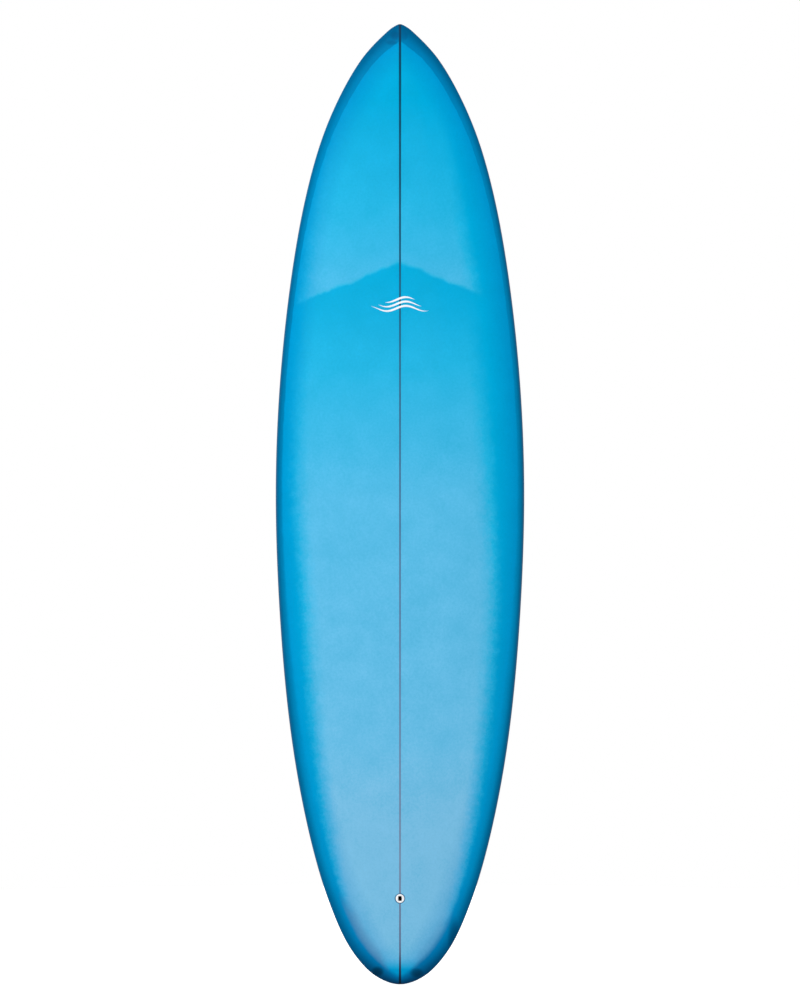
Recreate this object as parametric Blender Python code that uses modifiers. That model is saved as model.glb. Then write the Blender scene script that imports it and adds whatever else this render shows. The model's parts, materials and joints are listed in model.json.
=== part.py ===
"""Surfboard, seven feet long: tinted glass over a foam blank, with a leash plug and three fins.

Frame: metres, +Z from tail to nose, the deck facing -Y and the bottom +Y, X across.
The origin is the end of the tail, at the height of the rail's edge.
"""

import math

import bmesh
import bpy
import numpy as np
from mathutils import Matrix, Vector
from mathutils.bvhtree import BVHTree

# ---- Overall sizes ----
LENGTH = 2.1336
WIDTH = 0.555
THICKNESS = 0.070
TIP_THICKNESS = 0.016       # on the centre line at both tips, before the rail rounds them off
THICKEST_AT = 1.000         # from the tail
NOSE_ROCKER = 0.115         # how far each tip lifts above the flat of the bottom
TAIL_ROCKER = 0.050
ROCKER_FLAT_AT = 0.960      # the lowest point of the bottom, from the tail
THIN_POWER = 2.2            # how the thickness falls off towards both tips
TAIL_ROCKER_POWER = 2.2
NOSE_ROCKER_POWER = 2.5

# Plan outline from tail to nose: share of the length, share of half the width
TEMPLATE = (
    (0.0000, 0.000), (0.0088, 0.196), (0.0360, 0.391), (0.0880, 0.576), (0.1710, 0.755),
    (0.2960, 0.910), (0.5046, 1.000), (0.6710, 0.937), (0.8170, 0.7656), (0.9000, 0.573),
    (0.9630, 0.3135), (0.9915, 0.109), (0.9972, 0.052), (1.0000, 0.000),
)
STATION_STEP = 0.085        # greatest distance along the outline between two stations
TAIL_FOCUS = 0.045          # the section lines of each tip fan out from this far inside it
NOSE_FOCUS = 0.060

# ---- Cross-section: two superellipse arcs that meet at the rail's edge ----
RAIL_HEIGHT = 0.40          # share of the thickness below the rail's edge
DECK_POWERS = (2.2, 2.4)
BOTTOM_POWERS = (5.0, 2.6)
DECK_CELLS = 5              # faces across each part of the half section
RAIL_CELLS = 3
BOTTOM_CELLS = 3
DECK_LAP_COLUMN = DECK_CELLS            # columns are counted from the deck's centre round the rail
RAIL_COLUMN = DECK_LAP_COLUMN + RAIL_CELLS
BOTTOM_LAP_COLUMN = RAIL_COLUMN + RAIL_CELLS
LAST_COLUMN = BOTTOM_LAP_COLUMN + BOTTOM_CELLS

# ---- Skins, from the outside in ----
CLOTH = 0.0006              # one laminated layer
SEAM = 0.0004               # between two layers, and between two edges in one layer
DECK_LAP_MIDDLE = 0.0135    # bottom glass wrapped onto the deck, inwards from the outline
DECK_LAP_TIP = 0.034
DECK_LAP_POWERS = (1.5, 5.0)            # how it widens towards the tail and towards the nose
BOTTOM_LAP = 0.018          # deck glass wrapped onto the bottom
PATCH_APEX_FROM_NOSE = 0.523
PATCH_SLOPE = 0.41          # how steeply the patch's front edge falls back from the stringer
STRINGER = 0.0032
LEAST_SLANT = 0.5           # keep the laps in bounds at the tips, where the section lines fan out
MOST_LAP = 0.9

# ---- Hardware ----
FIT = 0.0003                # between two pieces that touch
RUNNING = 0.0003            # on each side of a piece that slides in a slot
BED = 0.0020                # resin around a fin box
PROUD = 0.010               # how far a cutter stands out of the face that it cuts

PLUG_AT = 0.192             # from the tail
PLUG_RADIUS = 0.0098
PLUG_DEPTH = 0.0165
PLUG_FLOOR = 0.0020
PLUG_LIP = 0.0035           # depth of the mouth, above the wider hollow
MOUTH_WIDTH = 0.0080
MOUTH_LENGTH = 0.0108
MOUTH_CORNER = 0.0024
HOLLOW_RADIUS = 0.0076
PLUG_BED = 0.0015
BAR_RADIUS = 0.0011
BAR_DEPTH = 0.0068
BAR_REACH = 0.0086

BOX_FROM_PLUG = 0.0232      # from the plug's edge to the rear end of the centre fin box
BOX_LENGTH = 0.216
BOX_WIDTH = 0.025
BOX_DEPTH = 0.025
BOX_CORNER = 0.0040
BOX_END = 0.0065            # wall at each end of the slot
SLOT_DEPTH = 0.0215
GROOVE_WIDTH = 0.0165       # the undercut that holds the pin and the plate
GROOVE_TOP = 0.0065
GROOVE_HEIGHT = 0.0060
NOTCH_LENGTH = 0.0150       # where the pin and the plate drop in

FIN_HEIGHT = 0.178
FIN_THICKNESS = 0.0093
FIN_CHORD = 0.156
FIN_RAKE = 0.088
FIN_LEVELS = 9
FOIL = ((0.07, 0.55), (0.33, 1.00), (0.70, 0.62))   # shares of the chord and of half the thickness
TIP_CHORD = 0.10            # share of the chord left at the tip
CHORD_POWERS = (2.4, 0.75)
RAKE_POWER = 1.8
TIP_THINNING = 0.72         # share of the thickness lost at the tip
TAB_LENGTH = 0.150
TAB_DEPTH = 0.0195
TAB_REAR_PLAY = 0.0130      # from the slot's rear end to the tab
TONGUE_LENGTH = 0.0130
TONGUE_ROOT = 0.0020        # its overlap with the tab
TONGUE_TOP = 0.0030
TONGUE_HEIGHT = 0.0030
PIN_RADIUS = 0.0024
PIN_FROM_REAR = 0.0100
PLATE_SIZE = 0.0140
PLATE_HEIGHT = 0.0030
SCREW_HEAD_RADIUS = 0.0042
SCREW_HEAD_HEIGHT = 0.0025
HEAD_CHAMFER = 0.0007
SCREW_RADIUS = 0.0020
SCREW_LENGTH = 0.0135
SCREW_SLOT = 0.0012
SCREW_AHEAD = 0.0080        # ahead of the tab

SIDE_AT = 0.345             # middle of each side slot, from the tail
SIDE_INSET = 0.047          # from the outline
SIDE_TOE = math.radians(2.5)
SIDE_SLOT_DEPTH = 0.0165
SIDE_REAR_WALL = 0.0040
SIDE_FRONT_WALL = 0.0174    # holds the grub screw
SIDE_BOX_WALL = 0.0037
SIDE_BOX_FLOOR = 0.0025
SIDE_BOX_CORNER = 0.0030
SIDE_FIN_HEIGHT = 0.095
SIDE_FIN_THICKNESS = 0.0065
SIDE_FIN_CHORD = 0.112
SIDE_FIN_RAKE = 0.052
SIDE_FIN_FLATNESS = 0.45    # the inner face's share of half the thickness
SIDE_TAB_LENGTH = 0.110
SIDE_TAB_DEPTH = 0.0160
GRUB_RADIUS = 0.0025
GRUB_LENGTH = 0.0088
GRUB_SUNK = 0.0035
GRUB_AHEAD = 0.0085         # where its axis meets the face, ahead of the slot
GRUB_LEAN = math.radians(30)
GRUB_SOCKET = 0.0013
GRUB_SOCKET_DEPTH = 0.0025
GRUB_ROOM = 0.0030          # free hole under the screw

BLADE_CLEARANCE = 0.0008    # between a fin's blade and the face of its box
SHARP = math.radians(30)    # edges sharper than this are shaded as creases
CORNER_SEGMENTS = 2
ROUND_STEPS = 16
HEX = 6
EPS = 0.0001                # merge distance

# ---- Colours: red, green, blue, roughness, metallic ----
TINTED_DECK = (0.04, 0.42, 0.72, 0.15, 0.0)
TINTED_BOTTOM = (0.01, 0.16, 0.33, 0.15, 0.0)
TINTED_PATCH = (0.10, 0.50, 0.78, 0.30, 0.0)
FOAM = (0.90, 0.92, 0.93, 0.90, 0.0)
WOOD = (0.45, 0.28, 0.14, 0.60, 0.0)
WHITE_PLASTIC = (0.92, 0.92, 0.92, 0.35, 0.0)
BLACK_PLASTIC = (0.03, 0.03, 0.03, 0.40, 0.0)
FIN_PLASTIC = (0.02, 0.03, 0.05, 0.25, 0.0)
RESIN = (0.03, 0.30, 0.50, 0.20, 0.0)
STEEL = (0.62, 0.63, 0.64, 0.25, 1.0)
BRASS = (0.70, 0.52, 0.22, 0.30, 1.0)

parts = None
cutters = None


# ---- Scene and objects ----

def clear_scene():
    for item in list(bpy.data.objects):
        bpy.data.objects.remove(item, do_unlink=True)


def new_collection(name):
    group = bpy.data.collections.new(name)
    bpy.context.scene.collection.children.link(group)
    return group


def material(name, look):
    made = bpy.data.materials.new(name)
    made.use_nodes = True
    shader = made.node_tree.nodes["Principled BSDF"]
    shader.inputs["Base Color"].default_value = (*look[:3], 1.0)
    shader.inputs["Roughness"].default_value = look[3]
    shader.inputs["Metallic"].default_value = look[4]
    made.diffuse_color = (*look[:3], 1.0)
    return made


def place(name, mesh, frame, look):
    """A named part; its mesh is in the coordinates of frame."""
    item = bpy.data.objects.new(name, mesh)
    item.matrix_world = frame
    mesh.materials.append(material(name, look))
    mesh.shade_smooth()
    mesh.set_sharp_from_angle(angle=SHARP)
    parts.objects.link(item)
    return item


def place_cutter(name, mesh, frame):
    item = bpy.data.objects.new(name, mesh)
    item.matrix_world = frame
    item.hide_render = True
    item.display_type = "WIRE"
    cutters.objects.link(item)
    return item


def combine(item, other, operation="DIFFERENCE"):
    step = item.modifiers.new(other.name, "BOOLEAN")
    step.operation = operation
    step.solver = "EXACT"
    step.object = other


def to_mesh(bm, name):
    mesh = bpy.data.meshes.new(name)
    bm.to_mesh(mesh)
    bm.free()
    return mesh


# ---- Basic solids ----

def block(name, across, along, up, corner=0.0):
    """A box between the two limits given for each axis, its upright edges rounded."""
    bm = bmesh.new()
    limits = (across, along, up)
    size = [high - low for low, high in limits]
    middle = [(high + low) / 2 for low, high in limits]
    move = Matrix.Translation(middle) @ Matrix.Diagonal((*size, 1.0))
    bmesh.ops.create_cube(bm, size=1.0, matrix=move)
    if corner:
        upright = [edge for edge in bm.edges if abs(edge.verts[0].co.z - edge.verts[1].co.z) > EPS]
        bmesh.ops.bevel(bm, geom=upright, offset=corner, segments=CORNER_SEGMENTS,
                        profile=0.5, affect="EDGES")
    return to_mesh(bm, name)


def rod(name, radius, low, high, steps=ROUND_STEPS, turn=Matrix.Identity(4)):
    """A cylinder along Z from low to high, then turned."""
    bm = bmesh.new()
    move = turn @ Matrix.Translation((0, 0, (low + high) / 2))
    bmesh.ops.create_cone(bm, cap_ends=True, segments=steps, radius1=radius, radius2=radius,
                          depth=high - low, matrix=move)
    return to_mesh(bm, name)


def turned(name, profile, frame, look):
    """A turned part: profile is (radius, height), from the axis at its top down the outside."""
    mesh = bpy.data.meshes.new(name)
    points = [(radius, 0.0, height) for radius, height in profile]
    mesh.from_pydata(points, [(k, k + 1) for k in range(len(points) - 1)], [])
    item = place(name, mesh, frame, look)
    spin = item.modifiers.new("turn", "SCREW")
    spin.axis = "Z"
    spin.angle = math.tau
    spin.steps = ROUND_STEPS
    spin.render_steps = ROUND_STEPS
    spin.use_merge_vertices = True
    spin.merge_threshold = EPS
    return item


def loft(name, rings):
    """A closed solid through rings of equal length, anticlockwise seen from the last one."""
    bm = bmesh.new()
    loops = [[bm.verts.new(point) for point in ring] for ring in rings]
    count = len(loops[0])
    for low, high in zip(loops, loops[1:]):
        for k in range(count):
            after = (k + 1) % count
            bm.faces.new((low[k], low[after], high[after], high[k]))
    bm.faces.new(reversed(loops[0]))
    bm.faces.new(loops[-1])
    return to_mesh(bm, name)


# ---- The shape of the board ----

def outline():
    """Stations along the outline from tail to nose: rows of half width and height."""
    knots = np.array([(wide * WIDTH / 2, along * LENGTH) for along, wide in TEMPLATE])
    before = knots[1] * (-1, 1)
    after = knots[-2] * (-1, 1)
    knots = np.vstack([before, knots, after])
    points = []
    for p0, p1, p2, p3 in zip(knots, knots[1:], knots[2:], knots[3:]):
        d1, d2, d3 = (math.sqrt(np.linalg.norm(b - a)) for a, b in ((p0, p1), (p1, p2), (p2, p3)))
        start = ((p1 - p0) / d1 - (p2 - p0) / (d1 + d2) + (p2 - p1) / d2) * d2
        end = ((p2 - p1) / d2 - (p3 - p1) / (d2 + d3) + (p3 - p2) / d3) * d2
        cells = max(2, math.ceil(np.linalg.norm(p2 - p1) / STATION_STEP))
        for k in range(cells):
            u = k / cells
            points.append((2 * u**3 - 3 * u**2 + 1) * p1 + (u**3 - 2 * u**2 + u) * start
                          + (3 * u**2 - 2 * u**3) * p2 + (u**3 - u**2) * end)
    points.append(knots[-2])
    return np.array(points)


def thickness(z):
    reach = np.where(z < THICKEST_AT, THICKEST_AT, LENGTH - THICKEST_AT)
    share = np.abs(z - THICKEST_AT) / reach
    return TIP_THICKNESS + (THICKNESS - TIP_THICKNESS) * (1 - share**THIN_POWER)


def bottom_line(z):
    """Y of the bottom on the centre line; the end of the tail's rail edge is at zero."""
    behind = np.clip(1 - z / ROCKER_FLAT_AT, 0, 1)
    ahead = np.clip((z - ROCKER_FLAT_AT) / (LENGTH - ROCKER_FLAT_AT), 0, 1)
    tail = TAIL_ROCKER * behind**TAIL_ROCKER_POWER
    nose = NOSE_ROCKER * ahead**NOSE_ROCKER_POWER
    return TAIL_ROCKER + RAIL_HEIGHT * TIP_THICKNESS - tail - nose


def deck_lap(z):
    """How far the bottom glass wraps onto the deck: narrow in the middle, wide at the tips."""
    middle = LENGTH / 2
    share = np.abs(z - middle) / middle
    power = np.where(z < middle, *DECK_LAP_POWERS)
    return DECK_LAP_MIDDLE + (DECK_LAP_TIP - DECK_LAP_MIDDLE) * share**power


def spine(points):
    """Where each station's section line meets the centre line, evenly spread along it."""
    steps = np.linalg.norm(np.diff(points, axis=0), axis=1)
    share = np.concatenate([[0], np.cumsum(steps)]) / steps.sum()
    return TAIL_FOCUS + share * (LENGTH - TAIL_FOCUS - NOSE_FOCUS)


def turns_at(station, centre, inward, lap):
    """Section angles at one station: 0 on the deck's centre, 90 at the rail, 180 below."""
    line = np.array([0.0, centre]) - station
    reach = np.linalg.norm(line)
    slant = max(LEAST_SLANT, float(line @ inward) / reach)
    deck_share = 1 - min(MOST_LAP, lap / slant / reach)
    bottom_share = 1 - min(MOST_LAP, BOTTOM_LAP / slant / reach)
    deck_turn = math.asin(deck_share**(DECK_POWERS[0] / 2))
    bottom_turn = math.pi - math.asin(bottom_share**(BOTTOM_POWERS[0] / 2))
    return np.concatenate([
        np.linspace(0, deck_turn, DECK_CELLS + 1),
        np.linspace(deck_turn, math.pi / 2, RAIL_CELLS + 1)[1:],
        np.linspace(math.pi / 2, bottom_turn, RAIL_CELLS + 1)[1:],
        np.linspace(bottom_turn, math.pi, BOTTOM_CELLS + 1)[1:],
    ])


def half_surface():
    """Outside of the half at +X: arrays [station, column] of points and outward normals."""
    stations = outline()
    centres = spine(stations)
    tangents = np.gradient(stations, axis=0)
    tangents[0] = (1, 0)
    tangents[-1] = (-1, 0)
    rows = []
    for station, centre, tangent in zip(stations, centres, tangents):
        inward = np.array([-tangent[1], tangent[0]]) / np.linalg.norm(tangent)
        turn = turns_at(station, centre, inward, float(deck_lap(station[1])))
        on_deck = turn <= math.pi / 2 + EPS
        out_power = np.where(on_deck, DECK_POWERS[0], BOTTOM_POWERS[0])
        up_power = np.where(on_deck, DECK_POWERS[1], BOTTOM_POWERS[1])
        out = np.clip(np.sin(turn), 0, 1)**(2 / out_power)
        out[[0, -1]] = 0
        up = np.abs(np.cos(turn))**(2 / up_power)
        x = station[0] * out
        z = centre + (station[1] - centre) * out
        edge = bottom_line(z) - RAIL_HEIGHT * thickness(z)
        deck = edge - (1 - RAIL_HEIGHT) * thickness(z) * up
        bottom = edge + RAIL_HEIGHT * thickness(z) * up
        rows.append(np.stack([x, np.where(on_deck, deck, bottom), z], axis=1))
    points = np.array(rows)
    return points, surface_normals(points)


def surface_normals(points):
    """Vertex normals of the closed board; those on the centre plane stay in it."""
    bm = strip_mesh(points, range(LAST_COLUMN + 1))
    normals = np.array([vert.normal for vert in bm.verts]).reshape(points.shape)
    bm.free()
    normals[points[..., 0] < EPS, 0] = 0
    return normals / np.linalg.norm(normals, axis=2, keepdims=True)


def strip_mesh(points, columns):
    """Faces over an array [station, step] of points, where each step is at one column.

    Every layer is split along the same diagonals, so the faces of two layers stay parallel. The
    diagonals turn round at mid length and at the rail, which keeps each tip's faces off the
    centre plane.
    """
    bm = bmesh.new()
    verts = [[bm.verts.new(point) for point in row] for row in points]
    for i, (low, high) in enumerate(zip(verts, verts[1:])):
        in_tail = i < len(points) // 2
        for k, (here, there) in enumerate(zip(columns, columns[1:])):
            on_deck = (here + there) / 2 < RAIL_COLUMN
            rising = (in_tail == on_deck) == (there >= here)
            if rising:
                bm.faces.new((low[k], low[k + 1], high[k + 1]))
                bm.faces.new((low[k], high[k + 1], high[k]))
            else:
                bm.faces.new((low[k], low[k + 1], high[k]))
                bm.faces.new((low[k + 1], high[k + 1], high[k]))
    bm.normal_update()
    return bm


class Board:
    """The outside of the board, and layers below it."""

    def __init__(self):
        self.points, self.normals = half_surface()
        bm = strip_mesh(self.points, range(LAST_COLUMN + 1))
        self.tree = BVHTree.FromBMesh(bm)
        bm.free()

    def column(self, place, depth):
        """All stations at one column, depth below the outside; place may lie between columns."""
        low = int(place)
        share = place - low
        layer = self.points - depth * self.normals
        if share == 0:
            return layer[:, low]
        return layer[:, low] * (1 - share) + layer[:, low + 1] * share

    def half(self, path):
        """The half at +X, open on the centre plane, from a path of (column, depth)."""
        points = np.stack([self.column(*step) for step in path], axis=1)
        return strip_mesh(points, [place for place, _ in path])

    def touch(self, x, z, side):
        """Point and normal of the outside under a line along Y; side is -1 deck, +1 bottom."""
        across = max(abs(x), EPS / 10)
        hit, normal, _, _ = self.tree.ray_cast(Vector((across, side, z)), Vector((0, -side, 0)))
        if normal.y * side < 0:
            normal.negate()
        if x == 0:
            hit.x = normal.x = 0
        return hit, normal.normalized()

    def seat(self, x, z, length, side, toe=0.0):
        """Frame of a flat face laid on the outside: local Y towards the nose, local Z outwards.

        Its ends stand proud of the rounded surface by half the rise between them.
        """
        rear, _ = self.touch(x, z - length / 2, side)
        front, _ = self.touch(x, z + length / 2, side)
        top, out = self.touch(x, z, side)
        chord = (rear + front) / 2
        origin = chord + out * ((top - chord).dot(out) / 2)
        along = (front - rear).normalized()
        across = along.cross(out).normalized()
        out = across.cross(along)
        frame = Matrix((across, along, out)).transposed().to_4x4()
        frame.translation = origin
        return frame @ Matrix.Rotation(toe, 4, "Z")

    def half_width(self, z):
        stations = outline()
        return float(np.interp(z, stations[:, 1], stations[:, 0]))


# ---- Blank and skins ----

def mirrored(name, bm, look):
    item = place(name, to_mesh(bm, name), Matrix.Identity(4), look)
    mirror = item.modifiers.new("other half", "MIRROR")
    mirror.use_axis = (True, False, False)
    mirror.merge_threshold = EPS
    return item


def run(first, last, depth):
    """Whole columns from first to last, in either direction."""
    step = 1 if last >= first else -1
    return [(k, depth) for k in range(first, last + step, step)]


def slice_half(board, x, keep_outer):
    """The blank's half cut along the plane at x and closed there."""
    depth = 2 * (CLOTH + SEAM)
    bm = board.half(run(0, LAST_COLUMN, depth))
    geometry = bm.verts[:] + bm.edges[:] + bm.faces[:]
    cut = bmesh.ops.bisect_plane(bm, geom=geometry, dist=EPS / 100, plane_co=(x, 0, 0),
                                 plane_no=(1, 0, 0), clear_inner=keep_outer,
                                 clear_outer=not keep_outer)["geom_cut"]
    rim = [edge for edge in cut if isinstance(edge, bmesh.types.BMEdge)]
    bmesh.ops.holes_fill(bm, edges=rim)
    return bm


def make_blank(board):
    for side, word in ((1, "right"), (-1, "left")):
        bm = slice_half(board, STRINGER / 2 + FIT, keep_outer=True)
        if side < 0:
            bmesh.ops.scale(bm, vec=(-1, 1, 1), verts=bm.verts)
            bmesh.ops.reverse_faces(bm, faces=bm.faces)
        bmesh.ops.recalc_face_normals(bm, faces=bm.faces)
        name = "foam_blank_" + word
        place(name, to_mesh(bm, name), Matrix.Identity(4), FOAM)
    mirrored("stringer", slice_half(board, STRINGER / 2, keep_outer=False), WOOD)


def make_skins(board):
    under = CLOTH + SEAM
    inner = under + CLOTH

    deck = run(0, BOTTOM_LAP_COLUMN, 0.0) + run(BOTTOM_LAP_COLUMN, 0, CLOTH)
    mirrored("deck_glass", board.half(deck), TINTED_DECK)

    cell = np.linalg.norm(board.column(BOTTOM_LAP_COLUMN + 1, 0) - board.column(BOTTOM_LAP_COLUMN, 0),
                          axis=1).mean()
    step = BOTTOM_LAP_COLUMN + SEAM / cell
    bottom = run(LAST_COLUMN, DECK_LAP_COLUMN, inner) + run(DECK_LAP_COLUMN, BOTTOM_LAP_COLUMN, under)
    bottom += [(step, under), (step, 0.0)] + run(BOTTOM_LAP_COLUMN + 1, LAST_COLUMN, 0.0)
    mirrored("bottom_glass", board.half(bottom), TINTED_BOTTOM)

    edge = DECK_LAP_COLUMN - 1
    patch = mirrored("deck_patch", board.half(run(0, edge, under) + run(edge, 0, inner)), TINTED_PATCH)
    combine(patch, patch_front_cutter())


def patch_front_cutter():
    """Everything ahead of the patch's pointed front edge."""
    apex = LENGTH - PATCH_APEX_FROM_NOSE
    side = WIDTH
    outline_points = [(0, apex), (side, apex - PATCH_SLOPE * side), (side, LENGTH + side),
                      (-side, LENGTH + side), (-side, apex - PATCH_SLOPE * side)]
    rings = [[(x, y, z) for x, z in outline_points] for y in (WIDTH, -WIDTH)]
    return place_cutter("patch_front", loft("patch_front", rings), Matrix.Identity(4))


# ---- Leash plug ----

def make_plug(board):
    frame = board.seat(0, PLUG_AT, 2 * PLUG_RADIUS, -1)
    hollow = PLUG_DEPTH - PLUG_FLOOR
    cup = place("leash_plug_cup", rod("leash_plug_cup", PLUG_RADIUS, -PLUG_DEPTH, 0), frame,
                WHITE_PLASTIC)
    wide, long = MOUTH_WIDTH / 2, MOUTH_LENGTH / 2
    mouth = block("plug_mouth", (-wide, wide), (-long, long), (-hollow / 2, PROUD), MOUTH_CORNER)
    combine(cup, place_cutter("plug_mouth", mouth, frame))
    combine(cup, place_cutter("plug_hollow", rod("plug_hollow", HOLLOW_RADIUS, -hollow, -PLUG_LIP),
                              frame))
    across = Matrix.Translation((0, 0, -BAR_DEPTH)) @ Matrix.Rotation(math.pi / 2, 4, "Y")
    reach = BAR_REACH + FIT
    bore = rod("bar_bore", BAR_RADIUS + FIT, -reach, reach, turn=across)
    combine(cup, place_cutter("bar_bore", bore, frame))
    bar = rod("leash_plug_bar", BAR_RADIUS, -BAR_REACH, BAR_REACH, turn=across)
    place("leash_plug_bar", bar, frame, STEEL)

    inside = PLUG_RADIUS + FIT
    outside = inside + PLUG_BED
    floor = PLUG_DEPTH + FIT
    turned("leash_plug_bed", [
        (0, -floor), (inside, -floor), (inside, 0), (outside, 0),
        (outside, -floor - PLUG_BED), (0, -floor - PLUG_BED)], frame, RESIN)
    well = rod("plug_well", outside + FIT, -floor - PLUG_BED - FIT, PROUD)
    return place_cutter("plug_well", well, frame)


# ---- Fin boxes ----

def make_box(name, across, along, depth, corner, frame):
    """A solid box, its resin bed, and the cutter of the well they fill."""
    box = place(name, block(name, (-across, across), along, (-depth, 0), corner), frame,
                BLACK_PLASTIC)
    shells = []
    for grow in (FIT, FIT + BED, 2 * FIT + BED):
        shells.append(((-across - grow, across + grow), (along[0] - grow, along[1] + grow),
                       depth + grow, corner + grow))
    bed_name = name.replace("box", "bed")
    room, bed, well = shells
    resin = place(bed_name, block(bed_name, bed[0], bed[1], (-bed[2], 0), bed[3]), frame, RESIN)
    room_cutter = block(name + "_room", room[0], room[1], (-room[2], PROUD), room[3])
    combine(resin, place_cutter(name + "_room", room_cutter, frame))
    well_cutter = block(name + "_well", well[0], well[1], (-well[2], PROUD), well[3])
    return box, place_cutter(name + "_well", well_cutter, frame)


def cut_block(item, name, across, along, up, frame):
    combine(item, place_cutter(name, block(name, across, along, up), frame))


def make_center_box(frame):
    half = BOX_LENGTH / 2
    end = half - BOX_END
    box, well = make_box("center_fin_box", BOX_WIDTH / 2, (-half, half), BOX_DEPTH, BOX_CORNER,
                        frame)
    slot = FIN_THICKNESS / 2 + RUNNING
    groove = GROOVE_WIDTH / 2
    floor = -GROOVE_TOP - GROOVE_HEIGHT
    cut_block(box, "center_slot", (-slot, slot), (-end, end), (-SLOT_DEPTH, PROUD), frame)
    cut_block(box, "center_groove", (-groove, groove), (-end - EPS, end + EPS), (floor, -GROOVE_TOP),
              frame)
    cut_block(box, "center_notch", (-groove - EPS, groove + EPS), (end - NOTCH_LENGTH, end + 2 * EPS),
              (floor + EPS, PROUD), frame)
    return well


def make_side_box(word, frame):
    half = SIDE_TAB_LENGTH / 2 + RUNNING
    slot = SIDE_FIN_THICKNESS / 2 + RUNNING
    along = (-half - SIDE_REAR_WALL, half + SIDE_FRONT_WALL)
    name = "side_fin_box_" + word
    box, well = make_box(name, slot + SIDE_BOX_WALL, along, SIDE_SLOT_DEPTH + SIDE_BOX_FLOOR,
                         SIDE_BOX_CORNER, frame)
    cut_block(box, "side_slot_" + word, (-slot, slot), (-half, half), (-SIDE_SLOT_DEPTH, PROUD),
              frame)
    bottom = -GRUB_SUNK - GRUB_LENGTH - GRUB_ROOM
    hole = rod("grub_hole_" + word, GRUB_RADIUS + RUNNING, bottom, PROUD)
    combine(box, place_cutter("grub_hole_" + word, hole, frame @ grub_axis()))
    return well


def grub_axis():
    """Where a grub screw lies in its box's frame: local Z points out of the hole."""
    mouth = SIDE_TAB_LENGTH / 2 + RUNNING + GRUB_AHEAD
    return Matrix.Translation((0, mouth, 0)) @ Matrix.Rotation(-GRUB_LEAN, 4, "X")


# ---- Fins ----

def foil(rear, front, height, half):
    chord = front - rear
    right = [(half * wide, front - chord * along, height) for along, wide in FOIL]
    left = [(-half * wide, front - chord * along, height) for along, wide in reversed(FOIL)]
    return [(0, front, height), *right, (0, rear, height), *left][::-1]


def tab_ring(rear, front, height, half):
    middle = (rear + front) / 2
    right = [(half, front, height), (half, middle, height), (half, rear, height)]
    left = [(-half, rear, height), (-half, middle, height), (-half, front, height)]
    return [(0, front, height), *right, (0, rear, height), *left][::-1]


def fin_mesh(name, tab, tab_depth, rear, chord, height, rake, half):
    """A tab, and above it a blade whose edges sweep back to a rounded tip."""
    rings = [tab_ring(*tab, -tab_depth, half), tab_ring(*tab, 0.0, half)]
    for level in range(FIN_LEVELS):
        share = level / (FIN_LEVELS - 1)
        up = BLADE_CLEARANCE + (height - BLADE_CLEARANCE) * math.sin(share * math.pi / 2)
        risen = up / height
        taper = (1 - risen**CHORD_POWERS[0])**CHORD_POWERS[1]
        length = chord * (TIP_CHORD + (1 - TIP_CHORD) * taper)
        back = rear - rake * risen**RAKE_POWER
        rings.append(foil(back, back + length, up, half * (1 - TIP_THINNING * risen)))
    return loft(name, rings)


def make_center_fin(frame):
    rear = -(BOX_LENGTH / 2 - BOX_END) + TAB_REAR_PLAY
    front = rear + TAB_LENGTH
    half = FIN_THICKNESS / 2
    blade_rear = front - FIN_CHORD
    mesh = fin_mesh("center_fin", (rear, front), TAB_DEPTH, blade_rear, FIN_CHORD, FIN_HEIGHT,
                    FIN_RAKE, half)
    fin = place("center_fin", mesh, frame, FIN_PLASTIC)

    tongue = block("tongue", (-half, half), (front - TONGUE_ROOT, front + TONGUE_LENGTH),
                   (-TONGUE_TOP - TONGUE_HEIGHT, -TONGUE_TOP))
    combine(fin, place_cutter("tongue", tongue, frame), "UNION")

    depth = GROOVE_TOP + GROOVE_HEIGHT / 2
    pin_axis = Matrix.Translation((0, rear + PIN_FROM_REAR, -depth)) @ Matrix.Rotation(
        math.pi / 2, 4, "Y")
    hole = rod("pin_hole", PIN_RADIUS + FIT, -FIN_THICKNESS, FIN_THICKNESS, turn=pin_axis)
    combine(fin, place_cutter("pin_hole", hole, frame))
    reach = GROOVE_WIDTH / 2 - 2 * RUNNING
    pin = rod("center_fin_pin", PIN_RADIUS, -reach, reach, turn=pin_axis)
    place("center_fin_pin", pin, frame, BRASS)
    make_center_screw(fin, frame @ Matrix.Translation((0, front + SCREW_AHEAD, 0)))


def make_center_screw(fin, frame):
    """The screw through the fin's tongue, and the square plate that it draws up in the groove."""
    hole = rod("screw_hole", SCREW_RADIUS + FIT, -GROOVE_TOP - GROOVE_HEIGHT, PROUD)
    cutter = place_cutter("screw_hole", hole, frame)
    combine(fin, cutter)

    half = PLATE_SIZE / 2
    top = -GROOVE_TOP - FIT
    plate = place("center_fin_plate",
                  block("center_fin_plate", (-half, half), (-half, half), (top - PLATE_HEIGHT, top)),
                  frame, STEEL)
    combine(plate, cutter)

    under = -TONGUE_TOP + FIT
    crown = under + SCREW_HEAD_HEIGHT
    screw = turned("center_fin_screw", [
        (0, crown), (SCREW_HEAD_RADIUS - HEAD_CHAMFER, crown),
        (SCREW_HEAD_RADIUS, crown - HEAD_CHAMFER), (SCREW_HEAD_RADIUS, under), (SCREW_RADIUS, under),
        (SCREW_RADIUS, under - SCREW_LENGTH), (0, under - SCREW_LENGTH)], frame, STEEL)
    slot = SCREW_SLOT / 2
    wide = SCREW_HEAD_RADIUS + EPS
    cut_block(screw, "driver_slot", (-wide, wide), (-slot, slot), (crown - SCREW_SLOT, crown + PROUD),
              frame)


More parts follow.
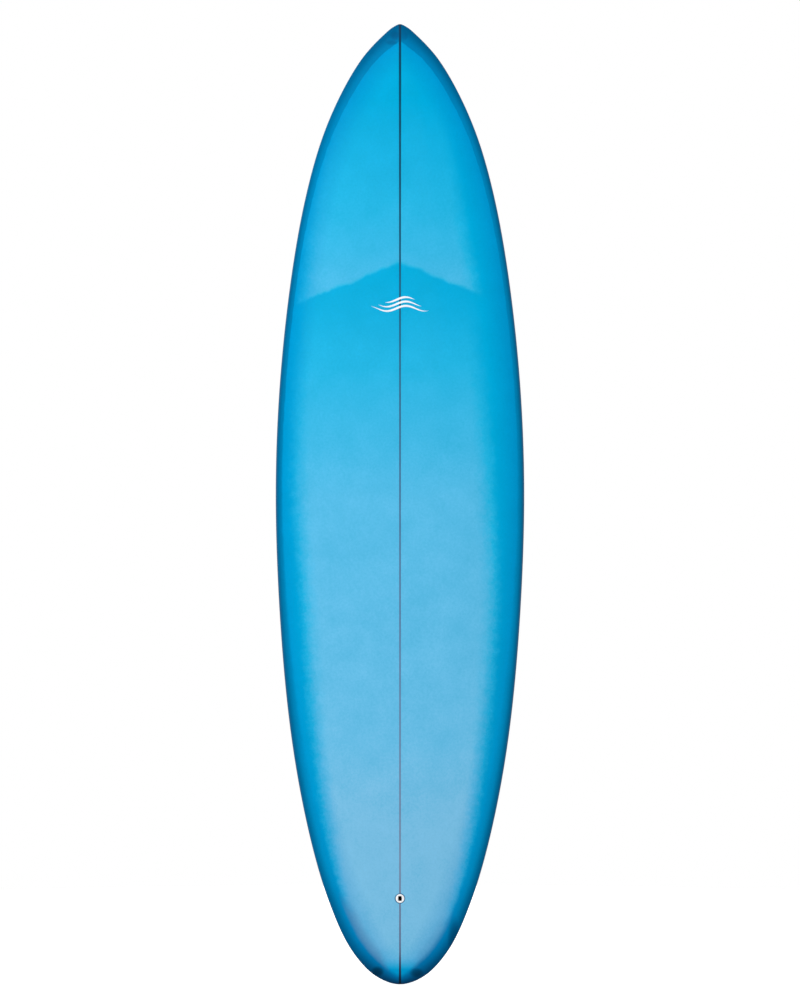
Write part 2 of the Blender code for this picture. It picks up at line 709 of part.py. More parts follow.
def make_side_fin(word, side, frame):
    half = SIDE_TAB_LENGTH / 2
    name = "side_fin_" + word
    mesh = fin_mesh(name, (-half, half), SIDE_TAB_DEPTH, half - SIDE_FIN_CHORD, SIDE_FIN_CHORD,
                    SIDE_FIN_HEIGHT, SIDE_FIN_RAKE, SIDE_FIN_THICKNESS / 2)
    flatten_side(mesh, side)
    place(name, mesh, frame, FIN_PLASTIC)

    axis = frame @ grub_axis()
    screw = "side_fin_screw_" + word
    grub = place(screw, rod(screw, GRUB_RADIUS, -GRUB_SUNK - GRUB_LENGTH, -GRUB_SUNK), axis, STEEL)
    bottom = -GRUB_SUNK - GRUB_SOCKET_DEPTH
    socket = rod("socket_" + word, GRUB_SOCKET, bottom, PROUD, steps=HEX)
    combine(grub, place_cutter("socket_" + word, socket, axis))


def flatten_side(mesh, side):
    """Flatten a blade's inner face, on local side -1 or +1, and leave the tab alone."""
    for vert in mesh.vertices:
        if vert.co.z > EPS and vert.co.x * side > 0:
            vert.co.x *= SIDE_FIN_FLATNESS


# ---- Assembly ----

def cut_wells(wells, names):
    for name in names:
        for well in wells:
            combine(bpy.data.objects[name], well)


def main():
    global parts, cutters
    clear_scene()
    parts = new_collection("surfboard")
    cutters = new_collection("cutters")

    board = Board()
    make_blank(board)
    make_skins(board)

    plug_well = make_plug(board)
    cut_wells([plug_well], ("deck_glass", "deck_patch", "foam_blank_left", "foam_blank_right",
                            "stringer"))

    box_at = PLUG_AT + PLUG_RADIUS + BOX_FROM_PLUG + BOX_LENGTH / 2
    center = board.seat(0, box_at, BOX_LENGTH, 1)
    center_well = make_center_box(center)
    make_center_fin(center)
    cut_wells([center_well], ("bottom_glass", "foam_blank_left", "foam_blank_right", "stringer"))

    x = board.half_width(SIDE_AT) - SIDE_INSET
    right = board.seat(x, SIDE_AT, SIDE_TAB_LENGTH, 1, -SIDE_TOE)
    flip = Matrix.Diagonal((-1, 1, 1, 1))
    for word, side, frame in (("right", 1, right), ("left", -1, flip @ right @ flip)):
        well = make_side_box(word, frame)
        make_side_fin(word, side, frame)
        cut_wells([well], ("bottom_glass", "deck_glass", "foam_blank_" + word))


main()
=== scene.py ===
"""A tint-glassed surfboard with its leash plug and three fins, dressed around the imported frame.

Metres throughout, +Z from tail to nose, the deck facing -Y and the bottom +Y.
"""

import json
import math

import bmesh
import bpy
import numpy as np
from mathutils import Matrix, Vector
from mathutils.bvhtree import BVHTree


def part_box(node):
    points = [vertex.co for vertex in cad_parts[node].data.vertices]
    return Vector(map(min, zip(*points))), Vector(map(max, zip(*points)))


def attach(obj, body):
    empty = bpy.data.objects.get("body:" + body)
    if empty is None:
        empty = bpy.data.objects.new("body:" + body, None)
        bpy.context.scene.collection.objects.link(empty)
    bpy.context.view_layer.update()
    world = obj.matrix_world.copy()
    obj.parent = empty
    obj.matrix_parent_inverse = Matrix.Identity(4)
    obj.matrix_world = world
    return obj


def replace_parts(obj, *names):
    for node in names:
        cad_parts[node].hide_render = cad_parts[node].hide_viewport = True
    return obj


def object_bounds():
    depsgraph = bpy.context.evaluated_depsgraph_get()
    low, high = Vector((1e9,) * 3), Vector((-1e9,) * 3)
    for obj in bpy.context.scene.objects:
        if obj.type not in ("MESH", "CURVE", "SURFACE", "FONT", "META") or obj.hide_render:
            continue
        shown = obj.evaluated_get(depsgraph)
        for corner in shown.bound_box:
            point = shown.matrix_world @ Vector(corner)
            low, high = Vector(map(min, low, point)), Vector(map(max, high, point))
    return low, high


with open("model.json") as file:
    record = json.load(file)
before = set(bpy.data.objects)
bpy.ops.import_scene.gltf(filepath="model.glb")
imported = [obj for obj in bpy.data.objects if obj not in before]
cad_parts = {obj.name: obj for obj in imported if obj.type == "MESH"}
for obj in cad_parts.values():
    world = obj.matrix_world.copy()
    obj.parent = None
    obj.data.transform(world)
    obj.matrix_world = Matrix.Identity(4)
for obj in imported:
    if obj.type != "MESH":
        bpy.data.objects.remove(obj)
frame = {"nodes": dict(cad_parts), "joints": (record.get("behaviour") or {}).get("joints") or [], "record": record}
CAD_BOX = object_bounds()
nodes = frame["nodes"]
mounts = {mount["name"]: mount for mount in frame["record"]["mounts"]}
joints = {joint["name"]: joint for joint in frame["joints"]}

# ---- The board's own sizes ----
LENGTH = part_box("deck_glass")[1].z
HALF_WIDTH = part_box("deck_glass")[1].x
THICKNESS = 0.070
TIP_THICKNESS = 0.016
THICKEST_AT = 1.000
NOSE_ROCKER = 0.115
TAIL_ROCKER = 0.050
ROCKER_FLAT_AT = 0.960
THIN_POWER = 2.2
ROCKER_POWERS = (2.2, 2.5)          # tail, nose
RAIL_HEIGHT = 0.40                  # share of the thickness on the bottom's side of the rail's edge
DECK_POWERS = (2.2, 2.4)            # of a section across and through the board
BOTTOM_POWERS = (5.0, 2.6)
TAIL_FOCUS = 0.045
NOSE_FOCUS = 0.060
CLOTH = 0.0006
DECK_LAP_MIDDLE = 0.0135
DECK_LAP_TIP = 0.034
DECK_LAP_POWERS = (1.5, 5)          # towards the tail, towards the nose
BOTTOM_LAP = 0.018
LEAST_SLANT = 0.5
MOST_LAP = 0.9
TAIL_V = 0.018                      # how much narrower the deck lap is on the stringer at the tail
NOSE_V = -0.0035
V_REACH = 0.044
SKIN_COLUMNS = (96, 48)             # deck, bottom
PATCH_APEX = LENGTH - 0.523
PATCH_SLOPE = 0.41
STRINGER = 0.0032

# ---- Fittings ----
FIT = 0.0003                        # between two pieces that touch
CHAMFER = 0.0004
EDGE = 0.0001                       # the sharpest edge left on a cut
FOOT = 0.0010                       # chamfer round the foot of a plug or a bed
BOX_FOOT = 0.0012
BED_EDGE = 0.0002
BED = 0.0020                        # resin around a fin box
PLUG_BED = 0.0015
PLUG_RIM = 0.0005
PLUG_MOUTH = (0.0040, 0.0054, 0.0024)           # half sizes, corner
MOUTH_RIM = 0.0006
PLUG_LIP = 0.0035
HOLLOW_RADIUS = 0.0076
PLUG_FLOOR = 0.0020
BAR_RADIUS = 0.0011
BAR_DEPTH = 0.0068
BAR_REACH = 0.0086
BAR_CHAMFER = 0.0003

BOX_CORNER = 0.0040
BOX_END = 0.0065
SLOT_DEPTH = 0.0215
GROOVE = 0.00825                    # half its width
GROOVE_TOP = 0.0065
GROOVE_HEIGHT = 0.0060
NOTCH_LENGTH = 0.0150
NOTCH_CORNER = 0.0010
SIDE_BOX_CORNER = 0.0030
SIDE_SLOT_DEPTH = 0.0165
SIDE_REAR_WALL = 0.0040
SIDE_FRONT_WALL = 0.0174
GRUB_RADIUS = 0.0025
GRUB_LENGTH = 0.0088
GRUB_SUNK = 0.0035
GRUB_AHEAD = 0.0085
GRUB_LEAN = math.radians(30)
GRUB_SOCKET = 0.0013
GRUB_SOCKET_DEPTH = 0.0025
GRUB_ROOM = 0.0030                  # left below the screw in its hole

# ---- Fins ----
BLADE_CLEARANCE = 0.0008
TAB_REAR_PLAY = 0.0130
TAB = (0.150, 0.0195)               # length, depth
SIDE_TAB = (0.110, 0.0160)
TAB_CORNER = 0.0008
TONGUE = (0.0150, 0.0030, 0.0060)   # length with its root, top, underside
TONGUE_ROOT = 0.0020
TONGUE_CORNER = 0.0010
SCREW_AHEAD = 0.0080
SCREW_HEAD_RADIUS = 0.0042
SCREW_HEAD_HEIGHT = 0.0025
SCREW_HEAD_ROUNDING = (0.0007, 0.0002)
SCREW_SLOT = (0.0006, 0.0012)       # half its width, its depth
SCREW_RADIUS = 0.0020
SCREW_LENGTH = 0.0135
FIN = (0.156, 0.178, 0.088, 0.00465)            # chord, height, rake, half the thickness
SIDE_FIN = (0.112, 0.095, 0.052, 0.00325)
SIDE_FIN_FLATNESS = 0.45            # of the flatter face, over the full foil
BLADE_CELLS = (96, 48)
TIP_CHORD = 0.10
CHORD_POWERS = (2.4, 0.75)
RAKE_POWER = 1.8
TIP_THINNING = 0.72
TIP_ROUND = 0.012
FOIL = ((2.969, 0.5), (-1.26, 1), (-3.516, 2), (2.843, 3), (-1.036, 4))     # factor, power of the chord

# ---- Printed mark ----
MARK_AT = LENGTH - 0.619
MARK_STROKES = ((0.0635, -0.0096), (0.0480, 0.0), (0.0330, 0.0096))         # half length, height
MARK_SWELL = 0.0058
MARK_WAVE = 0.085
MARK_PHASE = 0.6
MARK_HALF_WIDTH = 0.0024
MARK_TAPER = 0.8
MARK_PROUD = 0.00015
MARK_CELLS = (72, 4)

# ---- The studio ----
FLOOR_RADIUS = 3.2
FLOOR_BELOW = 0.002
FLOOR_GLOW = 0.60
ROOM_LIGHT = 0.43
LIGHTS = (                          # name, place, side of the square, power
    ("key_light", (-1.2, -6.0, 2.6), 4.0, 252.0),
    ("top_left_light", (-3.2, -2.2, 4.4), 1.6, 60.0),
    ("back_light", (2.0, 5.0, 3.2), 2.5, 160.0),
)
CAMERA_LENS = 200.0
CAMERA_SENSOR = 36.0
BOARD_SHARE = 0.9578                # the board's length over the picture's height
AIM_ABOVE = 0.0055                  # camera above the board's middle, over the same height

# Plan outline from tail to nose: share of the length, share of half the width
TEMPLATE = (
    (0.0000, 0.000), (0.0088, 0.196), (0.0360, 0.391), (0.0880, 0.576), (0.1710, 0.755),
    (0.2960, 0.910), (0.5046, 1.000), (0.6710, 0.937), (0.8170, 0.7656), (0.9000, 0.573),
    (0.9630, 0.3135), (0.9915, 0.109), (0.9972, 0.052), (1.0000, 0.000),
)
STATION_STEP = 0.010
LEAST_CELLS = 6                     # between two knots

EPS = 0.00001


# ---- Mesh helpers ----

def surface(columns, rows, where):
    """A grid of faces; where(u, v) takes arrays from 0 to 1 and gives their points."""
    bm = bmesh.new()
    bmesh.ops.create_grid(bm, x_segments=columns, y_segments=rows, size=0.5)
    flat = np.array([vert.co[:2] for vert in bm.verts]) + 0.5
    points = where(flat[:, 0], flat[:, 1])
    for vert, point in zip(bm.verts, points):
        vert.co = point
    return bm


def piece(name, bm, body, look, sharp=40):
    """A finished object that rides on a body; edges steeper than sharp degrees stay sharp."""
    mesh = bpy.data.meshes.new(name)
    bm.to_mesh(mesh)
    bm.free()
    mesh.materials.append(look)
    mesh.shade_smooth()
    mesh.set_sharp_from_angle(angle=math.radians(sharp))
    item = bpy.data.objects.new(name, mesh)
    bpy.context.scene.collection.objects.link(item)
    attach(item, body)
    return item


def rounded(half_x, half_y, radius, steps=8):
    """Points of a rounded rectangle, anticlockwise; with three equal sizes, of a circle."""
    points = []
    for k, (right, up) in enumerate(((1, 1), (-1, 1), (-1, -1), (1, -1))):
        for angle in np.linspace(k, k + 1, steps + 1) * math.pi / 2:
            points.append((right * (half_x - radius) + radius * math.cos(angle),
                           up * (half_y - radius) + radius * math.sin(angle)))
    return np.array(points)


def closed(bm):
    """Merges the seam, fills the open ends and turns every face outwards."""
    bmesh.ops.remove_doubles(bm, verts=bm.verts, dist=EPS)
    bmesh.ops.holes_fill(bm, edges=[edge for edge in bm.edges if edge.is_boundary])
    bmesh.ops.recalc_face_normals(bm, faces=bm.faces)
    return bm


def lofted(rows, steps=8):
    """A closed solid through level rings, each (half_x, half_y, radius, height)."""
    rings = np.array([[(x, y, row[3]) for x, y in rounded(*row[:3], steps)] for row in rows])
    count = rings.shape[1]

    def where(u, v):
        ring = np.rint(v * (len(rows) - 1)).astype(int)
        return rings[ring, np.rint(u * count).astype(int) % count]

    return closed(surface(count, len(rows) - 1, where))


def grown(size, radius, *rows):
    """Rings for lofted: the rounded rectangle of a size, each grown by (grow, height)."""
    return [(size[0] + grow, size[1] + grow, radius + grow, height) for grow, height in rows]


def disc(*rows):
    """Rings for lofted from (radius, height)."""
    return [(radius, radius, radius, height) for radius, height in rows]


def block(across, along, up, corner=CHAMFER):
    """A box between the limits on each axis, with its upright edges rounded."""
    middle = [(high + low) / 2 for low, high in (across, along)]
    half = [(high - low) / 2 for low, high in (across, along)]
    bm = lofted([(*half, corner, height) for height in up], 4)
    bmesh.ops.translate(bm, verts=bm.verts, vec=(*middle, 0))
    return bm


def moved(bm, matrix):
    bmesh.ops.transform(bm, matrix=matrix, verts=bm.verts)
    return bm


def as_mesh(bm):
    mesh = bpy.data.meshes.new("shape")
    bm.to_mesh(mesh)
    bm.free()
    return mesh


def joined(*solids):
    bm = bmesh.new()
    for solid in solids:
        bm.from_mesh(as_mesh(solid))
    return bm


def carved(solid, *cutters):
    """A solid less its cutters."""
    items = [bpy.data.objects.new("shape", as_mesh(bm)) for bm in (solid, *cutters)]
    for item in items:
        bpy.context.scene.collection.objects.link(item)
    for cutter in items[1:]:
        step = items[0].modifiers.new("cut", "BOOLEAN")
        step.object = cutter
        step.solver = "EXACT"
    shown = items[0].evaluated_get(bpy.context.evaluated_depsgraph_get())
    bm = bmesh.new()
    bm.from_mesh(bpy.data.meshes.new_from_object(shown))
    for item in items:
        bpy.data.objects.remove(item, do_unlink=True)
    return bm


def seat(node, mount, toward):
    """Frame on a fitting's face, local Y forwards and Z outwards, and the fitting's half sizes."""
    out = Vector(mounts[mount]["axis"])
    across = Vector(toward).cross(out).normalized()
    turn = Matrix((across, out.cross(across), out)).transposed()
    local = np.array([vert.co for vert in nodes[node].data.vertices]) @ np.array(turn)
    low, high = local.min(axis=0), local.max(axis=0)
    place = turn.to_4x4()
    place.translation = turn @ Vector((*(low + high)[:2] / 2, high[2]))
    return place, (high - low) / 2


def cut_hole(bm, place, ring):
    """Opens a surface inside a convex ring that lies in a fitting's face."""
    into = place.inverted()
    reach = 1.5 * np.abs(ring).max() + 0.02
    inside = [face for face in bm.faces if (into @ face.calc_center_median()).length < reach]
    for start, end in zip(ring, np.roll(ring, -1, axis=0)):
        along = end - start
        if np.linalg.norm(along) < EPS:
            continue
        corner, outward = Vector((*start, 0)), Vector((along[1], -along[0], 0)).normalized()
        geometry = list({part for face in inside for part in (face, *face.edges, *face.verts)})
        cut = bmesh.ops.bisect_plane(bm, geom=geometry, dist=EPS / 10, plane_co=place @ corner,
                                     plane_no=place.to_3x3() @ outward)["geom"]
        inside = [face for face in cut if isinstance(face, bmesh.types.BMFace)
                  and (into @ face.calc_center_median() - corner).dot(outward) < 0]
    bmesh.ops.delete(bm, geom=inside, context="FACES")


PLUG, PLUG_HALF = seat("leash_plug_cup", "leash_plug_face", (0, 0, 1))
CENTER, CENTER_HALF = seat("center_fin_box", "center_fin_box_face",
                           joints["center_fin_slide"]["axis"])
SIDES = {word: seat("side_fin_box_" + word, "side_fin_box_face_" + word,
                    joints["side_screw_" + word + "_turn"]["axis"]) for word in ("left", "right")}


# ---- The outside of the board ----

def outline():
    """Stations along one side from tail to nose: half width and height."""
    knots = np.array([(wide * HALF_WIDTH, along * LENGTH) for along, wide in TEMPLATE])
    knots = np.vstack([knots[1] * (-1, 1), knots, knots[-2] * (-1, 1)])
    points = []
    for p0, p1, p2, p3 in zip(knots, knots[1:], knots[2:], knots[3:]):
        d1, d2, d3 = (math.sqrt(np.linalg.norm(b - a)) for a, b in ((p0, p1), (p1, p2), (p2, p3)))
        start = ((p1 - p0) / d1 - (p2 - p0) / (d1 + d2) + (p2 - p1) / d2) * d2
        end = ((p2 - p1) / d2 - (p3 - p1) / (d2 + d3) + (p3 - p2) / d3) * d2
        cells = max(LEAST_CELLS, math.ceil(np.linalg.norm(p2 - p1) / STATION_STEP))
        for u in np.arange(cells) / cells:
            points.append((2 * u**3 - 3 * u**2 + 1) * p1 + (u**3 - 2 * u**2 + u) * start
                          + (3 * u**2 - 2 * u**3) * p2 + (u**3 - u**2) * end)
    points.append(knots[-2])
    return np.array(points)


STATIONS = outline()


def thickness(z):
    reach = np.where(z < THICKEST_AT, THICKEST_AT, LENGTH - THICKEST_AT)
    share = 1 - np.abs((z - THICKEST_AT) / reach)**THIN_POWER
    return TIP_THICKNESS + (THICKNESS - TIP_THICKNESS) * share


def rail_line(z):
    """Y of the rail's edge at one height."""
    behind = np.clip(1 - z / ROCKER_FLAT_AT, 0, 1)
    ahead = np.clip((z - ROCKER_FLAT_AT) / (LENGTH - ROCKER_FLAT_AT), 0, 1)
    tail = TAIL_ROCKER * behind**ROCKER_POWERS[0]
    nose = NOSE_ROCKER * ahead**ROCKER_POWERS[1]
    middle = TAIL_ROCKER + RAIL_HEIGHT * TIP_THICKNESS - tail - nose
    return middle - RAIL_HEIGHT * thickness(z)


def deck_lap(z):
    """How far the bottom's glass laps onto the deck."""
    middle = LENGTH / 2
    share = np.clip(np.abs(z - middle) / middle, 0, 1)**np.where(z < middle, *DECK_LAP_POWERS)
    return DECK_LAP_MIDDLE + (DECK_LAP_TIP - DECK_LAP_MIDDLE) * share


def section_rows():
    """For each station: its centre on the stringer, and its shares where the two laps end."""
    steps = np.linalg.norm(np.diff(STATIONS, axis=0), axis=1)
    share = np.concatenate([[0], np.cumsum(steps)]) / steps.sum()
    centres = TAIL_FOCUS + share * (LENGTH - TAIL_FOCUS - NOSE_FOCUS)
    tangents = np.gradient(STATIONS, axis=0)
    tangents[0] = (1, 0)
    tangents[-1] = (-1, 0)
    inward = np.stack([-tangents[:, 1], tangents[:, 0]], axis=1)
    inward /= np.linalg.norm(inward, axis=1, keepdims=True)
    line = np.stack([np.zeros_like(centres), centres], axis=1) - STATIONS
    reach = np.linalg.norm(line, axis=1)
    slant = np.maximum(LEAST_SLANT, (line * inward).sum(axis=1) / reach)
    deck = 1 - np.minimum(MOST_LAP, deck_lap(STATIONS[:, 1]) / slant / reach)
    bottom = 1 - np.minimum(MOST_LAP, BOTTOM_LAP / slant / reach)
    return centres, deck, bottom


CENTRES, DECK_SHARES, BOTTOM_SHARES = section_rows()


def skin_points(zone, row):
    """Points of the outside. zone runs 0 to 4: deck centre, deck lap, rail edge, bottom lap, centre."""
    deck, bottom = DECK_SHARES[row], BOTTOM_SHARES[row]
    high = np.arcsin(deck**(DECK_POWERS[0] / 2))
    low = np.arcsin(bottom**(BOTTOM_POWERS[0] / 2))
    side = np.abs(zone)
    quarter = math.pi / 2
    turn = np.where(side < 2, high + (quarter - high) * (side - 1),
                    quarter - (quarter - low) * (side - 2))
    on_deck = side <= 2
    power = np.where(on_deck, DECK_POWERS[0], BOTTOM_POWERS[0])
    rise = np.where(on_deck, DECK_POWERS[1], BOTTOM_POWERS[1])
    out = np.sin(np.clip(turn, 0, quarter))**(2 / power)
    out = np.where(side < 1, side * deck, out)
    out = np.where(side > 3, (4 - side) * bottom, out)
    up = np.clip(1 - out**power, 0, 1)**(1 / rise)
    z = CENTRES[row] + (STATIONS[row, 1] - CENTRES[row]) * out
    x = STATIONS[row, 0] * out * np.sign(zone)
    depth = np.where(on_deck, RAIL_HEIGHT - 1, RAIL_HEIGHT)
    points = np.stack([x, rail_line(z) + depth * thickness(z) * up, z], axis=1)
    return np.clip(points, *CAD_BOX)


def edge_distance(points):
    """Distance in plan from the outline."""
    here = np.stack([np.abs(points[:, 0]), points[:, 2]], axis=1)
    best = np.full(len(here), np.inf)
    for start, end in zip(STATIONS, STATIONS[1:]):
        along = end - start
        share = np.clip((here - start) @ along / (along @ along), 0, 1)
        gap = here - start - share[:, None] * along
        best = np.minimum(best, np.einsum("ij,ij->i", gap, gap))
    return np.sqrt(best)


def skin(columns, first, last, holes):
    """The outside between two zones on either side of a centre line, with its UV maps."""
    def where(u, v):
        row = np.rint(v * (len(STATIONS) - 1)).astype(int)
        across = 2 * u - 1
        zone = first + (last - first) * np.abs(across)
        return skin_points(np.where(across < 0, -zone, zone), row)

    bm = surface(columns, len(STATIONS) - 1, where)
    bmesh.ops.remove_doubles(bm, verts=bm.verts, dist=EPS)
    if first > last:
        bmesh.ops.reverse_faces(bm, faces=bm.faces)
    for place, ring in holes:
        cut_hole(bm, place, ring)
    points = np.array([vert.co for vert in bm.verts])
    below = 1 if first > last else np.sign(points[:, 1] - rail_line(points[:, 2]) - EPS)
    distance = -edge_distance(points) * below
    narrow = np.where(points[:, 2] < LENGTH / 2, TAIL_V, NOSE_V)
    lap = deck_lap(points[:, 2]) - narrow * np.clip(1 - np.abs(points[:, 0]) / V_REACH, 0, 1)
    if first > last:
        distance, lap = -distance, BOTTOM_LAP
    wide = np.interp(points[:, 2], STATIONS[:, 1], STATIONS[:, 0])
    spread = points[:, 0] / np.maximum(wide, EPS)
    add_uv(bm, "edges", distance - lap, distance)
    add_uv(bm, "spread", spread, points[:, 2] / LENGTH)
    return bm


def add_uv(bm, name, us, vs):
    """A UV map from two values for each vertex."""
    layer = bm.loops.layers.uv.new(name)
    bm.verts.index_update()
    for face in bm.faces:
        for loop in face.loops:
            k = loop.vert.index
            loop[layer].uv = (us[k], vs[k])


# ---- Node helpers ----

def linear(code):
    """A colour written as six hexadecimal digits, in linear light."""
    parts = [int(code[k:k + 2], 16) / 255 for k in (0, 2, 4)]
    return tuple(c / 12.92 if c < 0.04045 else ((c + 0.055) / 1.055)**2.4 for c in parts) + (1.0,)


class Nodes:
    """Short calls that add nodes to one tree and return their output sockets."""

    def __init__(self, tree):
        self.tree = tree

    def add(self, kind, inputs=None, **settings):
        made = self.tree.nodes.new("ShaderNode" + kind)
        for key, value in settings.items():
            setattr(made, key, value)
        for key, value in (inputs or {}).items():
            self.feed(made.inputs[key], value)
        return made

    def feed(self, socket, value):
        if isinstance(value, bpy.types.NodeSocket):
            self.tree.links.new(value, socket)
        elif value is not None:
            socket.default_value = value

    def math(self, operation, a, b=None):
        return self.add("Math", {0: a, 1: b}, operation=operation).outputs[0]

    def times(self, *values):
        """The product of two or more values."""
        product = values[0]
        for value in values[1:]:
            product = self.math("MULTIPLY", product, value)
        return product

    def blend(self, factor, a, b, mode="MIX"):
        made = self.add("Mix", data_type="RGBA", blend_type=mode)
        self.feed(made.inputs["Factor"], factor)
        self.feed(made.inputs[6], a)
        self.feed(made.inputs[7], b)
        return made.outputs[2]

    def fade(self, value, low, high, start=0.0, end=1.0, kind="SMOOTHSTEP"):
        """A smooth step from start at low to end at high."""
        inputs = {"Value": value, "From Min": low, "From Max": high, "To Min": start, "To Max": end}
        return self.add("MapRange", inputs, interpolation_type=kind).outputs["Result"]

    def ramp(self, factor, stops):
        """Stops are (place, colour code or grey level), from low to high."""
        made = self.add("ValToRGB", {"Fac": factor})
        marks = made.color_ramp.elements
        for place, colour in stops[2:]:
            marks.new(place)
        for mark, (place, colour) in zip(marks, sorted(stops)):
            mark.position = place
            mark.color = linear(colour) if isinstance(colour, str) else (colour,) * 3 + (1.0,)
        return made.outputs["Color"]

    def noise(self, vector, scale, detail=2.0, roughness=0.5):
        inputs = {"Vector": vector, "Scale": scale, "Detail": detail, "Roughness": roughness}
        return self.add("TexNoise", inputs).outputs["Fac"]

    def wander(self, amount, *noise):
        """Noise about 0, of the given amount from end to end."""
        return self.times(self.math("SUBTRACT", self.noise(*noise), 0.5), amount)

    def vary(self, value, low, high):
        """A factor from low to high as a noise goes from 0.3 to 0.7."""
        return self.fade(value, 0.3, 0.7, low, high, "LINEAR")

    def split(self, vector):
        return self.add("SeparateXYZ", {"Vector": vector}).outputs[:3]

    def place(self):
        return self.add("TexCoord").outputs["Object"]

    def uv(self, name):
        return self.split(self.add("UVMap", uv_map=name).outputs["UV"])[:2]

    def bump(self, height, strength, distance, normal=None):
        inputs = {"Height": height, "Strength": strength, "Distance": distance, "Normal": normal}
        return self.add("Bump", inputs).outputs["Normal"]

    def group(self, tree, **inputs):
        made = self.tree.nodes.new("ShaderNodeGroup")
        made.node_tree = tree
        for key, value in inputs.items():
            self.feed(made.inputs[key.replace("_", " ").capitalize()], value)
        return made.outputs


def material(name, **settings):
    """A material with its own Principled shader; settings are socket names and plain values."""
    made = bpy.data.materials.new(name)
    made.use_nodes = True
    shader = made.node_tree.nodes["Principled BSDF"]
    for key, value in settings.items():
        shader.inputs[key.replace("_", " ").title().replace("Ior", "IOR")].default_value = value
    return made, Nodes(made.node_tree), shader.inputs


def new_group(name, inputs, outputs):
    tree = bpy.data.node_groups.new(name, "ShaderNodeTree")
    for label, kind in inputs.items():
        tree.interface.new_socket(label, in_out="INPUT", socket_type="NodeSocket" + kind)
    for label, kind in outputs.items():
        tree.interface.new_socket(label, in_out="OUTPUT", socket_type="NodeSocket" + kind)
    entry = tree.nodes.new("NodeGroupInput").outputs
    leave = tree.nodes.new("NodeGroupOutput").inputs
    return tree, Nodes(tree), entry, leave


# ---- Effects shared by several materials ----

def make_mottle():
    """Fine grain and broad clouds in tinted resin, each about 0.5 in the middle."""
    tree, n, entry, leave = new_group("resin_mottle", {"Vector": "Vector"},
                                      {"Fine": "Float", "Broad": "Float", "Specks": "Float"})
    place = entry["Vector"]
    n.feed(leave["Fine"], n.noise(place, 210.0, 3.0, 0.6))
    n.feed(leave["Broad"], n.noise(place, 17.0, 4.0, 0.55))
    cells = n.add("TexVoronoi", {"Vector": place, "Scale": 11.0, "Randomness": 1.0})
    rare = n.math("GREATER_THAN", n.split(cells.outputs["Color"])[0], 0.80)
    dot = n.fade(cells.outputs["Distance"], 0.006, 0.014, 1.0, 0.0)
    n.feed(leave["Specks"], n.times(dot, rare))
    return tree


def make_weave():
    """Height of a plain woven glass cloth lying in the XZ plane."""
    tree, n, entry, leave = new_group("glass_weave", {"Vector": "Vector", "Pitch": "Float"},
                                      {"Height": "Float"})
    x, _, z = n.split(entry["Vector"])
    threads = []
    for axis in (x, z):
        turns = n.math("DIVIDE", axis, entry["Pitch"])
        threads.append(n.math("SINE", n.times(turns, math.tau)))
    n.feed(leave["Height"], n.fade(n.times(*threads), -1.0, 1.0, kind="LINEAR"))
    return tree


def make_wear():
    """Hairline polishing scratches and dull patches, for roughness and bump."""
    tree, n, entry, leave = new_group("polish_wear", {"Vector": "Vector"},
                                      {"Scratches": "Float", "Dull": "Float"})
    turned = n.add("Mapping", {"Vector": entry["Vector"], "Rotation": (0.0, 0.5, 0.0),
                               "Scale": (90.0, 90.0, 2.5)}).outputs[0]
    lines = n.noise(turned, 9.0, 2.0, 0.5)
    n.feed(leave["Scratches"], n.fade(lines, 0.64, 0.70))
    n.feed(leave["Dull"], n.noise(entry["Vector"], 6.0, 5.0, 0.6))
    return tree


MOTTLE, WEAVE, WEAR = make_mottle(), make_weave(), make_wear()


# ---- Tinted glass ----

# Resin that ran together and set darker: centre, half sizes, strength, colour
POOLS = (
    ((-0.050, 0.029), (0.017, 0.014), 0.75, "02263D"),
    ((0.037, 0.026), (0.018, 0.013), 0.65, "02263D"),
    ((0.120, 0.098), (0.016, 0.060), 0.50, "01345A"),
    ((-0.011, LENGTH - 0.026), (0.013, 0.013), 0.60, "064A78"),
    ((-0.018, LENGTH - 0.041), (0.016, 0.007), 0.50, "064A78"),
    ((0.009, LENGTH - 0.026), (0.011, 0.013), 0.40, "064A78"),
)

# Dull smudges along the tail's laps: side, heights where each begins and stops fading, strength
SMUDGES = ((-1, 0.15, 0.21, 0.60), (1, 0.12, 0.17, 0.28))


def gloss_finish(n, sockets, place):
    """Weave under the coat, orange peel on it, and a roughness that varies with handling."""
    wear = n.group(WEAR, vector=place)
    weave = n.group(WEAVE, vector=place, pitch=0.0026)["Height"]
    under = n.bump(weave, 0.05, 0.0002)
    peel = n.noise(place, 140.0, 2.0, 0.5)
    n.feed(sockets["Normal"], n.bump(peel, 0.04, 0.0004, under))
    n.feed(sockets["Coat Normal"], n.bump(peel, 0.03, 0.0003))
    rough = n.fade(wear["Dull"], 0.3, 0.8, 0.30, 0.42)
    n.feed(sockets["Roughness"], n.math("ADD", rough, n.times(wear["Scratches"], 0.1)))


def shade_by(n, colour, value, low, high):
    """The colour times a factor that varies with a noise."""
    factor = n.vary(value, low, high)
    grey = n.add("CombineXYZ", {0: factor, 1: factor, 2: factor}).outputs[0]
    return n.blend(1.0, colour, grey, "MULTIPLY")


def resin_colour(n, paleness):
    """Tinted resin over white foam, from saturated at 0 to pale at 1; on the deck the paleness is partly painted
    sheen.
    """
    return n.ramp(paleness, [(0.0, "00A9DA"), (0.12, "22B3E0"), (0.39, "4EB9E4"), (0.68, "66BEE7"),
                         (1.0, "7BC1E6")])


